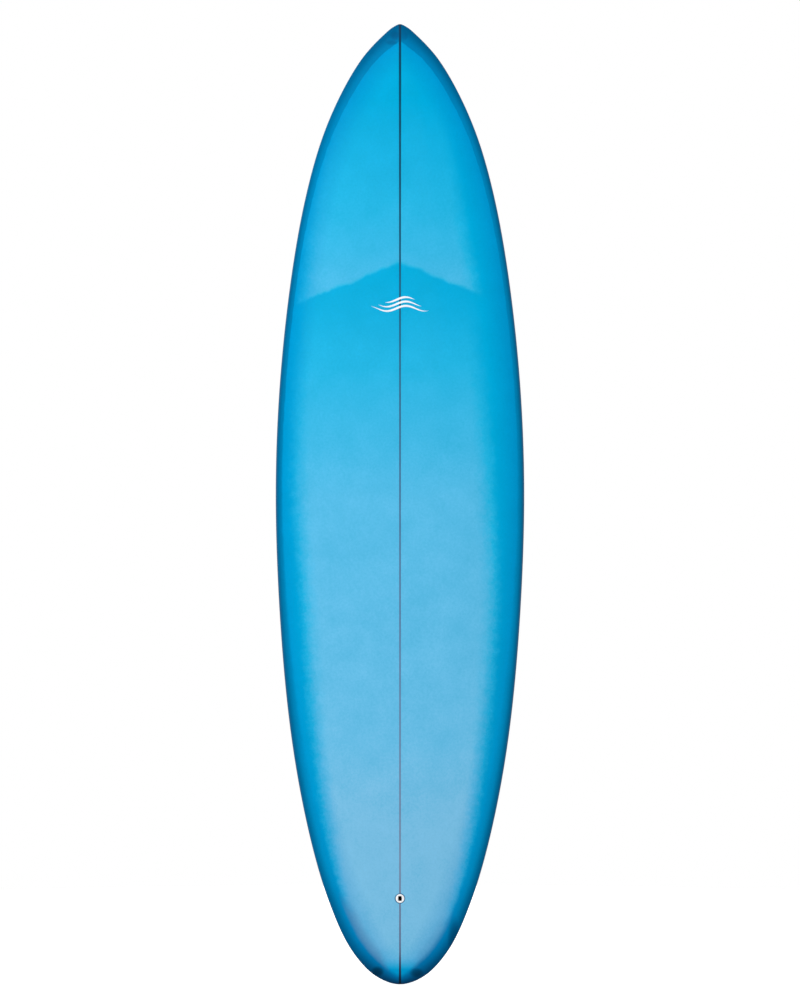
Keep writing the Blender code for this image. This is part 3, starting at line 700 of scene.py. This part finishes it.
def deck_paleness_and_sheen(n, place, side, spread, along, mottle):
    """How pale the deck is: partly a milkier tint and partly painted sheen of a broad soft light; palest over the
    tail, with a step at the patch's front edge.
    """
    behind_line = n.math("SUBTRACT", PATCH_APEX, n.times(side, PATCH_SLOPE))
    past = n.math("SUBTRACT", behind_line, n.times(along, LENGTH))
    past = n.math("ADD", past, n.wander(0.028, place, 16.0, 5.0, 0.6))
    patch = n.fade(past, -0.005, 0.008)
    ahead = n.ramp(along, [(0.70, 0.34), (0.735, 0.33), (0.765, 0.22), (0.80, 0.15), (0.86, 0.06),
                           (0.92, 0.0)])
    behind = n.ramp(along, [(0.0165, 0.0), (0.027, 0.75), (0.04, 0.95), (0.14, 1.0), (0.19, 0.92),
                            (0.25, 0.72), (0.40, 0.57), (0.505, 0.46), (0.557, 0.30), (0.641, 0.13),
                            (0.70, 0.04), (0.75, 0.0)])
    paleness = n.split(n.blend(patch, ahead, behind))[0]

    # Painted sheen: the pale middle, drawn towards -X nearer the nose, fades out short of the rails with a grainy
    # edge.
    shift = n.ramp(along, [(0.40, 0.0), (0.505, 0.055), (0.64, 0.09), (0.74, 0.10), (0.80, 0.14)])
    off = n.math("ABSOLUTE", n.math("ADD", spread, shift))
    off = n.math("ADD", off, n.wander(0.16, place, 60.0, 6.0, 0.75))
    pale = n.fade(off, 0.64, 0.86, 1.0, 0.0)
    return n.times(paleness, pale, n.vary(mottle["Broad"], 0.90, 1.10), n.vary(mottle["Fine"], 0.90, 1.10))


def lap_colour(n, x, inside, distance, along):
    """The rail's band, where two layers of tint overlap; its darkening towards the outline is partly painted shade
    where the rail turns away. It is darker too towards the tail and the left.
    """
    inner = n.ramp(along, [(0.0, "00639A"), (0.04, "007FBA"), (0.12, "0090C8"), (0.5, "0088BC"),
                           (0.9, "0082B8"), (1.0, "0078AE")])
    outer = n.ramp(along, [(0.0, "063C64"), (0.04, "005C8C"), (0.12, "006A9A"), (0.5, "006A98"),
                           (0.9, "006C9C"), (1.0, "015A88")])
    share = n.math("DIVIDE", distance, n.math("SUBTRACT", distance, inside))
    band = n.blend(n.fade(share, 0.1, 0.9), outer, inner)
    deeper = n.fade(x, -0.18, -0.26, 0.0, 0.30)
    return n.blend(deeper, band, linear("005480"))


def stringer_line(n, colour, side, along):
    """The wood seen through the tint, its lighter grey over the tail half painted sheen as on the deck; resin
    bleeds beside it at both ends.
    """
    # Painted sheen: the wood is lighter and greyer over the tail half.
    wood = n.ramp(along, [(0.0, "031828"), (0.0156, "2A3A54"), (0.0365, "626C8A"), (0.12, "7889A6"),
                          (0.3, "6582A6"), (0.5, "4A6F94"), (0.7, "25506F"), (0.94, "0D4562"),
                          (0.99, "143E5C"), (1.0, "1F3A55")])
    bleed = n.ramp(along, [(0.0, 0.9), (0.04, 0.1), (0.7, 0.0), (0.95, 0.7), (1.0, 0.9)])
    edge = n.math("SUBTRACT", side, n.times(bleed, 0.001))
    inside = n.fade(edge, STRINGER / 2 - 0.0001, STRINGER / 2 + 0.0005, 1.0, 0.0)
    return n.blend(inside, colour, wood)


def add_smudges(n, colour, x, z, line):
    """Dull streaks just inside the tail's laps."""
    for side, full, gone, strength in SMUDGES:
        mask = n.times(n.fade(z, full, gone, strength, 0.0), n.fade(n.times(x, side), 0.02, 0.05),
                       n.fade(line, -0.007, 0.002), n.fade(line, 0.005, 0.027, 1.0, 0.0))
        colour = n.blend(mask, colour, linear("5485B2"))
    return colour


def add_pools(n, colour, x, z):
    """Dark ovals that fade out at their edges."""
    for centre, half_sizes, strength, code in POOLS:
        parts = []
        for value, middle, half in zip((x, z), centre, half_sizes):
            share = n.math("DIVIDE", n.math("SUBTRACT", value, middle), half)
            parts.append(n.times(share, share))
        oval = n.fade(n.math("ADD", *parts), 0.0, 1.0, 1.0, 0.0)
        colour = n.blend(n.times(oval, strength), colour, linear(code))
    return colour


def glass(name):
    return material(name, specular_ior_level=0.0, coat_weight=1.0, coat_roughness=0.05, coat_ior=1.5)


def glass_finish(n, sockets, place, colour, mottle, clouds):
    """Grain, clouds and specks in the tint, below the gloss."""
    colour = shade_by(n, colour, mottle["Fine"], 0.97, 1.03)
    colour = shade_by(n, colour, mottle["Broad"], 1 - clouds, 1 + clouds)
    colour = n.blend(n.times(mottle["Specks"], 0.6), colour, linear("1C7FA8"))
    n.feed(sockets["Base Color"], colour)
    gloss_finish(n, sockets, place)


def tinted_deck():
    made, n, sockets = glass("tinted_deck_glass")
    place = n.place()
    x, _, z = n.split(place)
    inside, distance = n.uv("edges")
    spread, along = n.uv("spread")
    mottle = n.group(MOTTLE, vector=place)
    side = n.math("ABSOLUTE", x)
    colour = resin_colour(n, deck_paleness_and_sheen(n, place, side, spread, along, mottle))
    # Painted shade, partly thicker tint: the deck darkens towards the lap line where it rolls down to the rail.
    margin = n.ramp(n.times(inside, 10.0), [(0.0, "B0E2F2"), (0.15, "D0EBF6"), (0.55, "FFFFFF")])
    colour = n.blend(1.0, colour, margin, "MULTIPLY")

    line = n.math("ADD", inside, n.wander(0.004, place, 45.0, 4.0, 0.6))
    soft = n.fade(along, 0.10, 0.75, 0.009, 0.0015)
    lap = n.fade(line, n.times(soft, -0.6), soft, 1.0, 0.0)
    colour = n.blend(lap, colour, lap_colour(n, x, inside, distance, along))
    colour = add_pools(n, add_smudges(n, colour, x, z, line), x, z)
    colour = stringer_line(n, colour, side, along)
    glass_finish(n, sockets, place, colour, mottle, 0.025)
    return made


def tinted_bottom():
    made, n, sockets = glass("tinted_bottom_glass")
    place = n.place()
    x, _, _ = n.split(place)
    inside, _ = n.uv("edges")
    spread, along = n.uv("spread")
    mottle = n.group(MOTTLE, vector=place)
    paleness = n.ramp(along, [(0.0, 0.0), (0.1, 0.25), (0.5, 0.33), (0.85, 0.2), (1.0, 0.0)])
    pale = n.fade(n.math("ABSOLUTE", spread), 0.55, 0.9, 1.0, 0.0)
    colour = resin_colour(n, n.times(n.split(paleness)[0], pale, n.vary(mottle["Broad"], 0.8, 1.2)))
    margin = n.ramp(n.times(inside, 10.0), [(0.0, "B0DCEC"), (0.2, "D4ECF6"), (0.5, "FFFFFF")])
    colour = n.blend(1.0, colour, margin, "MULTIPLY")
    colour = stringer_line(n, colour, n.math("ABSOLUTE", x), along)
    glass_finish(n, sockets, place, colour, mottle, 0.04)
    return made


# ---- Other materials ----

def finish(n, sockets, place, colour, rough, grain, depth, dull):
    """Colour with patches and scuffs, uneven roughness, and a fine bump."""
    wear = n.group(WEAR, vector=place)
    fine = n.noise(place, grain, 3.0, 0.6)
    colour = shade_by(n, colour, fine, 0.93, 1.07)
    colour = shade_by(n, colour, n.noise(place, 35.0, 3.0), 0.94, 1.06)
    colour = n.blend(n.times(wear["Scratches"], 0.35), colour, linear(dull))
    n.feed(sockets["Base Color"], colour)
    uneven = n.fade(wear["Dull"], 0.3, 0.8, rough * 0.85, min(1.0, rough * 1.3))
    n.feed(sockets["Roughness"], n.math("ADD", uneven, n.times(wear["Scratches"], 0.08)))
    height = n.math("SUBTRACT", fine, n.times(wear["Scratches"], 0.3))
    n.feed(sockets["Normal"], n.bump(height, 0.3, depth))


def plastic(name, colour, rough, dull):
    """Moulded plastic, with edges rubbed towards the dull colour."""
    made, n, sockets = material(name, specular_ior_level=0.5)
    place = n.place()
    edges = n.fade(n.add("NewGeometry").outputs["Pointiness"], 0.52, 0.60)
    worn = n.times(edges, n.fade(n.noise(place, 400.0), 0.4, 0.6))
    finish(n, sockets, place, n.blend(worn, linear(colour), linear(dull)), rough, 1800.0, 0.00004, dull)
    return made


def cup_plastic_with_painted_shade():
    """White plastic at the rim; below the lip, painted shade colours the hollow near black."""
    made, n, sockets = material("white_cup", specular_ior_level=0.5)
    place = n.place()
    _, y, _ = n.split(place)
    # Painted shade: below the lip the hollow goes near black.
    hollow_shade = n.fade(y, PLUG.translation.y + 0.0008, PLUG.translation.y + 0.0016)
    colour = n.blend(hollow_shade, linear("FBFBFC"), linear("060608"))
    finish(n, sockets, place, colour, 0.30, 1800.0, 0.00004, "C9CCCE")
    return made


def metal(name, colour, dull, rough):
    """Drawn metal: fine lines round it and a little tarnish."""
    made, n, sockets = material(name, metallic=1.0)
    place = n.place()
    lines = n.add("Mapping", {"Vector": place, "Scale": (60.0, 900.0, 900.0)}).outputs[0]
    tarnish = n.fade(n.noise(place, 300.0, 4.0), 0.5, 0.7)
    colour = n.blend(n.times(tarnish, 0.6), linear(colour), linear(dull))
    colour = shade_by(n, colour, n.noise(lines, 4.0), 0.9, 1.1)
    finish(n, sockets, place, colour, rough, 2600.0, 0.00002, dull)
    return made


def white_ink():
    """Screen printed ink below a thin gloss coat."""
    made, n, sockets = material("white_ink", coat_weight=0.6, coat_roughness=0.08)
    finish(n, sockets, n.place(), linear("F2F4F8"), 0.40, 900.0, 0.00003, "DDE8EF")
    return made


def resin():
    """Tinted bedding resin with a few fine bubbles."""
    made, n, sockets = material("tinted_resin", coat_weight=0.8, coat_roughness=0.06)
    place = n.place()
    cells = n.add("TexVoronoi", {"Vector": place, "Scale": 700.0}).outputs["Distance"]
    bubbles = n.fade(cells, 0.10, 0.16, 0.5, 0.0)
    colour = n.blend(bubbles, linear("0B6F9E"), linear("5FB4D8"))
    finish(n, sockets, place, colour, 0.25, 900.0, 0.00005, "3C8DB4")
    return made


def composite():
    """Laid up glass fin: plies show as contour lines where the foil cuts through them."""
    made, n, sockets = material("fin_composite", coat_weight=0.8, coat_roughness=0.05)
    place = n.place()
    offset, up = n.uv("foil")
    depth = n.math("ADD", n.math("ABSOLUTE", offset), n.times(n.noise(place, 45.0, 3.0), 0.00025))
    ply = n.math("SINE", n.times(n.math("DIVIDE", depth, 0.00055), math.tau))
    colour = n.blend(n.fade(ply, 0.4, 1.0, 0.0, 0.55), linear("141C24"), linear("3A4C59"))
    colour = n.blend(n.fade(up, 0.0, 0.2, 0.0, 0.35), colour, linear("0D3E57"))
    finish(n, sockets, place, colour, 0.28, 1200.0, 0.00003, "54646E")
    weave = n.group(WEAVE, vector=place, pitch=0.0018)["Height"]
    n.feed(sockets["Coat Normal"], n.bump(weave, 0.05, 0.0002))
    return made


def foam():
    """White blank with fine closed cells."""
    made, n, sockets = material("polyurethane_foam", specular_ior_level=0.2)
    place = n.place()
    cells = n.add("TexVoronoi", {"Vector": place, "Scale": 1600.0}).outputs["Distance"]
    colour = n.blend(n.fade(cells, 0.2, 0.6), linear("F4F4F0"), linear("E2E3DF"))
    finish(n, sockets, place, colour, 0.85, 2400.0, 0.0002, "D8DAD6")
    return made


def wood():
    """Straight grained basswood, the grain along the board."""
    made, n, sockets = material("stringer_wood", specular_ior_level=0.3)
    place = n.place()
    along = n.add("Mapping", {"Vector": place, "Scale": (260.0, 260.0, 6.0)}).outputs[0]
    rings = n.noise(along, 1.6, 5.0, 0.6)
    colour = n.ramp(rings, [(0.30, "6B4A2C"), (0.5, "8C6A45"), (0.7, "A98A60")])
    finish(n, sockets, place, colour, 0.6, 1500.0, 0.0001, "5A3F28")
    return made


def cloth():
    """Tinted patch cloth, its threads slightly raised."""
    made, n, sockets = material("patch_cloth", specular_ior_level=0.4)
    place = n.place()
    weave = n.group(WEAVE, vector=place, pitch=0.0013)["Height"]
    colour = n.blend(weave, linear("2E9CCB"), linear("5AB6DC"))
    finish(n, sockets, place, colour, 0.45, 800.0, 0.00008, "8CCBE6")
    return made


STEEL = metal("stainless_steel", "B9BCC0", "8A8D92", 0.28)
BRASS = metal("brass", "C9A252", "8A6A30", 0.32)
BOX_PLASTIC = plastic("black_box", "17181A", 0.42, "55575A")
RESIN = resin()
COMPOSITE = composite()


def dress_frame():
    """Materials for the CAD nodes that are shown as they are."""
    looks = {"foam_blank_left": foam(), "foam_blank_right": foam(), "stringer": wood(),
             "deck_patch": cloth(), "center_fin_pin": BRASS, "center_fin_plate": STEEL}
    for name, look in looks.items():
        mesh = nodes[name].data
        mesh.materials.clear()
        mesh.materials.append(look)


# ---- Skins ----

def shell(item, wall):
    """Gives an open skin its wall, inwards."""
    step = item.modifiers.new("wall", "SOLIDIFY")
    step.thickness = wall
    step.offset = -1
    return item


def hole(place, half, radius, grow):
    """For skin: a fitting's frame, and the ring of its rounded opening."""
    return place, rounded(half[0] + grow, half[1] + grow, radius + grow, 6)


def make_skins():
    """The two laminated skins, and the mark printed under the deck's gloss."""
    plug = hole(PLUG, PLUG_HALF, PLUG_HALF[0], FIT + PLUG_BED + EPS)
    boxes = [hole(CENTER, CENTER_HALF, BOX_CORNER, FIT + BED + EPS)]
    boxes += [hole(*side, SIDE_BOX_CORNER, FIT + BED + EPS) for side in SIDES.values()]
    deck = skin(SKIN_COLUMNS[0], 0, 3, [plug])
    bottom = skin(SKIN_COLUMNS[1], 4, 3, boxes)
    mark = wave_mark(BVHTree.FromBMesh(deck))
    deck = piece("deck_skin", deck, "board", tinted_deck())
    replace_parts(shell(deck, CLOTH), "deck_glass")
    bottom = piece("bottom_skin", bottom, "board", tinted_bottom())
    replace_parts(shell(bottom, CLOTH), "bottom_glass")
    shell(piece("wave_mark", mark, "board", white_ink()), MARK_PROUD * 1.5)


def wave_mark(deck):
    """Three tapered swells laid on the deck."""
    strokes = []
    for half, height in MARK_STROKES:
        def where(u, v, half=half, height=height):
            x = half * (2 * u - 1)
            z = MARK_AT + height + MARK_SWELL * np.sin(math.tau * x / MARK_WAVE + MARK_PHASE)
            wide = np.sin(math.pi * np.clip(u, 0.01, 0.99))**MARK_TAPER
            z += (2 * v - 1) * MARK_HALF_WIDTH * wide
            y = [deck.ray_cast(Vector((a, -1, b)), Vector((0, 1, 0)))[0].y for a, b in zip(x, z)]
            return np.stack([x, np.array(y) - MARK_PROUD, z], axis=1)

        strokes.append(surface(*MARK_CELLS, where))
    return joined(*strokes)


# ---- Leash plug ----

def make_plug():
    radius, depth = PLUG_HALF[0], 2 * PLUG_HALF[2]
    mouth = np.array(PLUG_MOUTH)
    hollow = depth - PLUG_FLOOR
    cup = lofted([
        *disc((radius - FOOT, -depth), (radius, FOOT - depth), (radius, -PLUG_RIM),
              (radius - 0.3 * PLUG_RIM, -0.3 * PLUG_RIM), (radius - PLUG_RIM, 0)),
        (*(mouth + MOUTH_RIM), 0), (*(mouth + MOUTH_RIM / 3), -MOUTH_RIM / 3), (*mouth, -MOUTH_RIM),
        (*mouth, -PLUG_LIP),
        *disc((HOLLOW_RADIUS, -PLUG_LIP), (HOLLOW_RADIUS, FOOT - hollow),
              (HOLLOW_RADIUS - FOOT, -hollow))], 12)
    cup = piece("plug_cup", moved(cup, PLUG), "board", cup_plastic_with_painted_shade())
    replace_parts(cup, "leash_plug_cup")

    inside, outside, floor = radius + FIT, radius + FIT + PLUG_BED, depth + FIT
    bed = lofted(disc((outside - FOOT, -floor - PLUG_BED), (outside, FOOT - floor - PLUG_BED),
                      (outside, -BED_EDGE / 2), (outside - BED_EDGE, 0), (inside, -BED_EDGE),
                      (inside, -floor)), 12)
    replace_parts(piece("plug_resin", moved(bed, PLUG), "board", RESIN),
                "leash_plug_bed")

    end = BAR_REACH - BAR_CHAMFER
    bar = lofted(disc((BAR_RADIUS - BAR_CHAMFER, -BAR_REACH), (BAR_RADIUS, -end), (BAR_RADIUS, end),
                      (BAR_RADIUS - BAR_CHAMFER, BAR_REACH)), 6)
    turn = Matrix.Translation((0, 0, -BAR_DEPTH)) @ Matrix.Rotation(math.pi / 2, 4, "Y")
    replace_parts(piece("plug_bar", moved(bar, PLUG @ turn), "board", STEEL),
                "leash_plug_bar")


# ---- Fin boxes ----

def make_box(label, place, half, corner, cutters):
    """A fin box with its slots, and the resin that beds it."""
    depth = 2 * half[2]
    solid = lofted(grown(half, corner, (-BOX_FOOT, -depth), (0, BOX_FOOT - depth), (0, -CHAMFER),
                         (-CHAMFER / 4, -CHAMFER / 4), (-CHAMFER, 0)))
    solid = moved(carved(solid, *cutters), place)
    box = piece("box_" + label, solid, "board", BOX_PLASTIC, 30)
    wall, floor = FIT + BED, depth + FIT
    bed = lofted(grown(half, corner, (wall - FOOT, -floor - BED), (wall, FOOT - floor - BED),
                       (wall, -BED_EDGE / 2), (wall - BED_EDGE, 0), (FIT, -BED_EDGE), (FIT, -floor)))
    bed = piece("resin_" + label, moved(bed, place), "board", RESIN)
    return box, bed


def make_center_box():
    slot, end = FIN[3] + FIT, CENTER_HALF[1] - BOX_END
    floor = -GROOVE_TOP - GROOVE_HEIGHT
    cutters = [
        block((-slot, slot), (-end, end), (-SLOT_DEPTH, BED)),
        block((-GROOVE, GROOVE), (-end, end), (floor, -GROOVE_TOP)),
        block((-GROOVE - EPS, GROOVE + EPS), (end - NOTCH_LENGTH, end + EPS), (floor + EPS, BED),
              NOTCH_CORNER),
    ]
    box, bed = make_box("center", CENTER, CENTER_HALF, BOX_CORNER, cutters)
    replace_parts(box, "center_fin_box")
    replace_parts(bed, "center_fin_bed")


# The middle of a side slot, in its box's frame
SIDE_SLOT = Matrix.Translation((0, (SIDE_REAR_WALL - SIDE_FRONT_WALL) / 2, 0))


def grub_axis():
    """Where a grub screw lies in a side slot's frame: local Z points out of its hole."""
    mouth = SIDE_TAB[0] / 2 + FIT + GRUB_AHEAD
    return Matrix.Translation((0, mouth, 0)) @ Matrix.Rotation(-GRUB_LEAN, 4, "X")


def make_side_box(word):
    place, half = SIDES[word]
    slot, end = SIDE_FIN[3] + FIT, SIDE_TAB[0] / 2 + FIT
    radius = GRUB_RADIUS + FIT
    bore = lofted(disc((radius, -GRUB_SUNK - GRUB_LENGTH - GRUB_ROOM), (radius, BED)))
    cutters = [moved(block((-slot, slot), (-end, end), (-SIDE_SLOT_DEPTH, BED)), SIDE_SLOT),
               moved(bore, SIDE_SLOT @ grub_axis())]
    box, bed = make_box(word, place, half, SIDE_BOX_CORNER, cutters)
    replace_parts(box, "side_fin_box_" + word)
    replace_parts(bed, "side_fin_bed_" + word)


# ---- Fins and screws ----

def blade(rear, chord, height, rake, half, flat_side=0):
    """A foiled blade over a fitting's face; flat_side is the side of a flatter face."""
    def where(u, v):
        up = BLADE_CLEARANCE + (height - BLADE_CLEARANCE) * np.sin(v * math.pi / 2)
        risen = np.clip(up / height, 0, 1)
        taper = np.clip(1 - risen**CHORD_POWERS[0], 0, 1)**CHORD_POWERS[1]
        length = chord * (TIP_CHORD + (1 - TIP_CHORD) * taper)
        along = (1 - np.cos(math.tau * u)) / 2
        wide = sum(factor * along**power for factor, power in FOIL)
        thin = half * (1 - TIP_THINNING * risen) * np.sqrt(np.clip((1 - risen) / TIP_ROUND, 0, 1))
        side = np.where(u < 0.5, 1, -1)
        flatter = np.where(side == flat_side, SIDE_FIN_FLATNESS, 1)
        return np.stack([wide * thin * side * flatter,
                         rear - rake * risen**RAKE_POWER + length * (1 - along), up], axis=1)

    return closed(surface(*BLADE_CELLS, where))


def make_fin(name, solid, place, body, node):
    """A finished fin; its UV map holds the distance from its middle plane, and the height."""
    points = np.array([vert.co for vert in solid.verts])
    add_uv(solid, "foil", points[:, 0], points[:, 2])
    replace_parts(piece(name, moved(solid, place), body, COMPOSITE, 35), node)


def make_center_fin():
    half = FIN[3]
    rear = BOX_END - CENTER_HALF[1] + TAB_REAR_PLAY
    length, depth = TAB
    front = rear + length
    tab = block((-half, half), (rear, front), (-depth, 0), TAB_CORNER)
    root, top, under = TONGUE
    start = front - TONGUE_ROOT
    tongue = block((-half, half), (start, start + root), (-under, -top), TONGUE_CORNER)
    screw = Matrix.Translation((0, front + SCREW_AHEAD, 0))
    bore = lofted(disc((SCREW_RADIUS + FIT, -2 * under), (SCREW_RADIUS + FIT, 0)))
    tongue = carved(tongue, moved(bore, screw))
    solid = joined(blade(front - FIN[0], *FIN), tab, tongue)
    make_fin("fin_center", solid, CENTER, "center_fin_body", "center_fin")

    low = FIT - top
    foot, crown = low - SCREW_LENGTH, low + SCREW_HEAD_HEIGHT
    radius = SCREW_HEAD_RADIUS
    wide, narrow = SCREW_HEAD_ROUNDING
    head = lofted(disc((SCREW_RADIUS - CHAMFER, foot), (SCREW_RADIUS, foot + CHAMFER),
                       (SCREW_RADIUS, low), (radius, low), (radius, crown - wide),
                       (radius - narrow, crown - narrow), (radius - wide, crown)))
    half_slot, sunk = SCREW_SLOT
    slot = block((-radius, radius), (-half_slot, half_slot), (crown - sunk, crown + BED), EDGE)
    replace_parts(piece("screw_center", moved(carved(head, slot), CENTER @ screw), "center_screw_body",
                      STEEL, 30), "center_fin_screw")


def make_side_fin(word, flat_side):
    half_tab, thick = SIDE_TAB[0] / 2, SIDE_FIN[3]
    tab = block((-thick, thick), (-half_tab, half_tab), (-SIDE_TAB[1], 0), TAB_CORNER)
    solid = joined(blade(half_tab - SIDE_FIN[0], *SIDE_FIN, flat_side), tab)
    place = SIDES[word][0] @ SIDE_SLOT
    make_fin("fin_" + word, solid, place, "side_fin_%s_body" % word, "side_fin_" + word)

    low, high = -GRUB_SUNK - GRUB_LENGTH, -GRUB_SUNK
    grub = lofted(disc((GRUB_RADIUS - CHAMFER, low), (GRUB_RADIUS, low + CHAMFER),
                       (GRUB_RADIUS, high - CHAMFER), (GRUB_RADIUS - CHAMFER, high)))
    socket = lofted(disc((GRUB_SOCKET, high - GRUB_SOCKET_DEPTH), (GRUB_SOCKET, high + BED)), 1)
    grub = moved(carved(grub, socket), place @ grub_axis())
    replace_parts(piece("screw_" + word, grub, "side_screw_%s_body" % word, STEEL, 30),
                "side_fin_screw_" + word)


# ---- Studio ----

def make_floor():
    """A pale disc that the board neither mirrors nor is lit by."""
    bm = bmesh.new()
    bmesh.ops.create_circle(bm, cap_ends=True, radius=FLOOR_RADIUS, segments=96)
    mesh = bpy.data.meshes.new("floor")
    bm.to_mesh(mesh)
    bm.free()
    made, n, sockets = material("pale_floor", roughness=0.9, specular_ior_level=0.1,
                                emission_color=(1.0, 1.0, 1.0, 1.0), emission_strength=FLOOR_GLOW)
    n.feed(sockets["Base Color"], n.ramp(n.noise(n.place(), 3.0), [(0.3, 0.93), (0.7, 0.96)]))
    mesh.materials.append(made)
    floor = bpy.data.objects.new("floor", mesh)
    floor.location.z = -FLOOR_BELOW
    floor.visible_diffuse = False
    floor.visible_glossy = False
    bpy.context.scene.collection.objects.link(floor)


def soft_box(name, place, size, power):
    """A square light that faces the middle of the board and isn't mirrored in it."""
    data = bpy.data.lights.new(name, "AREA")
    data.size = size
    data.energy = power
    item = bpy.data.objects.new(name, data)
    item.location = place
    aim = Vector((0, 0, LENGTH / 2)) - item.location
    item.rotation_euler = aim.to_track_quat("-Z", "Y").to_euler()
    item.visible_camera = False
    item.visible_glossy = False
    bpy.context.scene.collection.objects.link(item)


def make_world():
    """White behind the board; a grey room for its shading, and a darker front in its reflections."""
    world = bpy.data.worlds.new("studio")
    world.use_nodes = True
    bpy.context.scene.world = world
    n = Nodes(world.node_tree)
    path = n.add("LightPath").outputs
    _, y, _ = n.split(n.add("TexCoord").outputs["Generated"])
    room = n.ramp(n.fade(y, -1.0, 1.0, kind="LINEAR"), [(0.0, 0.0), (0.35, 0.01), (0.5, 0.06),
                                                        (0.7, 0.30), (1.0, 0.5)])
    inside = n.blend(path["Is Glossy Ray"], (ROOM_LIGHT,) * 3 + (1.0,), room)
    seen = n.blend(path["Is Camera Ray"], inside, (1.0, 1.0, 1.0, 1.0))
    n.feed(world.node_tree.nodes["Background"].inputs["Color"], seen)


def make_camera():
    data = bpy.data.cameras.new("camera")
    data.lens = CAMERA_LENS
    data.sensor_width = CAMERA_SENSOR
    camera = bpy.data.objects.new("camera", data)
    height = LENGTH / BOARD_SHARE
    camera.location = (0, -height * data.lens / data.sensor_width, LENGTH / 2 + height * AIM_ABOVE)
    camera.rotation_euler = (math.pi / 2, 0, 0)
    bpy.context.scene.collection.objects.link(camera)
    bpy.context.scene.camera = camera


def make_studio():
    make_floor()
    make_world()
    make_camera()
    for light in LIGHTS:
        soft_box(*light)
    bpy.context.scene.view_settings.view_transform = "Standard"


make_skins()
make_plug()
make_center_box()
make_center_fin()
for word, flat_side in (("left", -1), ("right", 1)):
    make_side_box(word)
    make_side_fin(word, flat_side)
dress_frame()
make_studio()
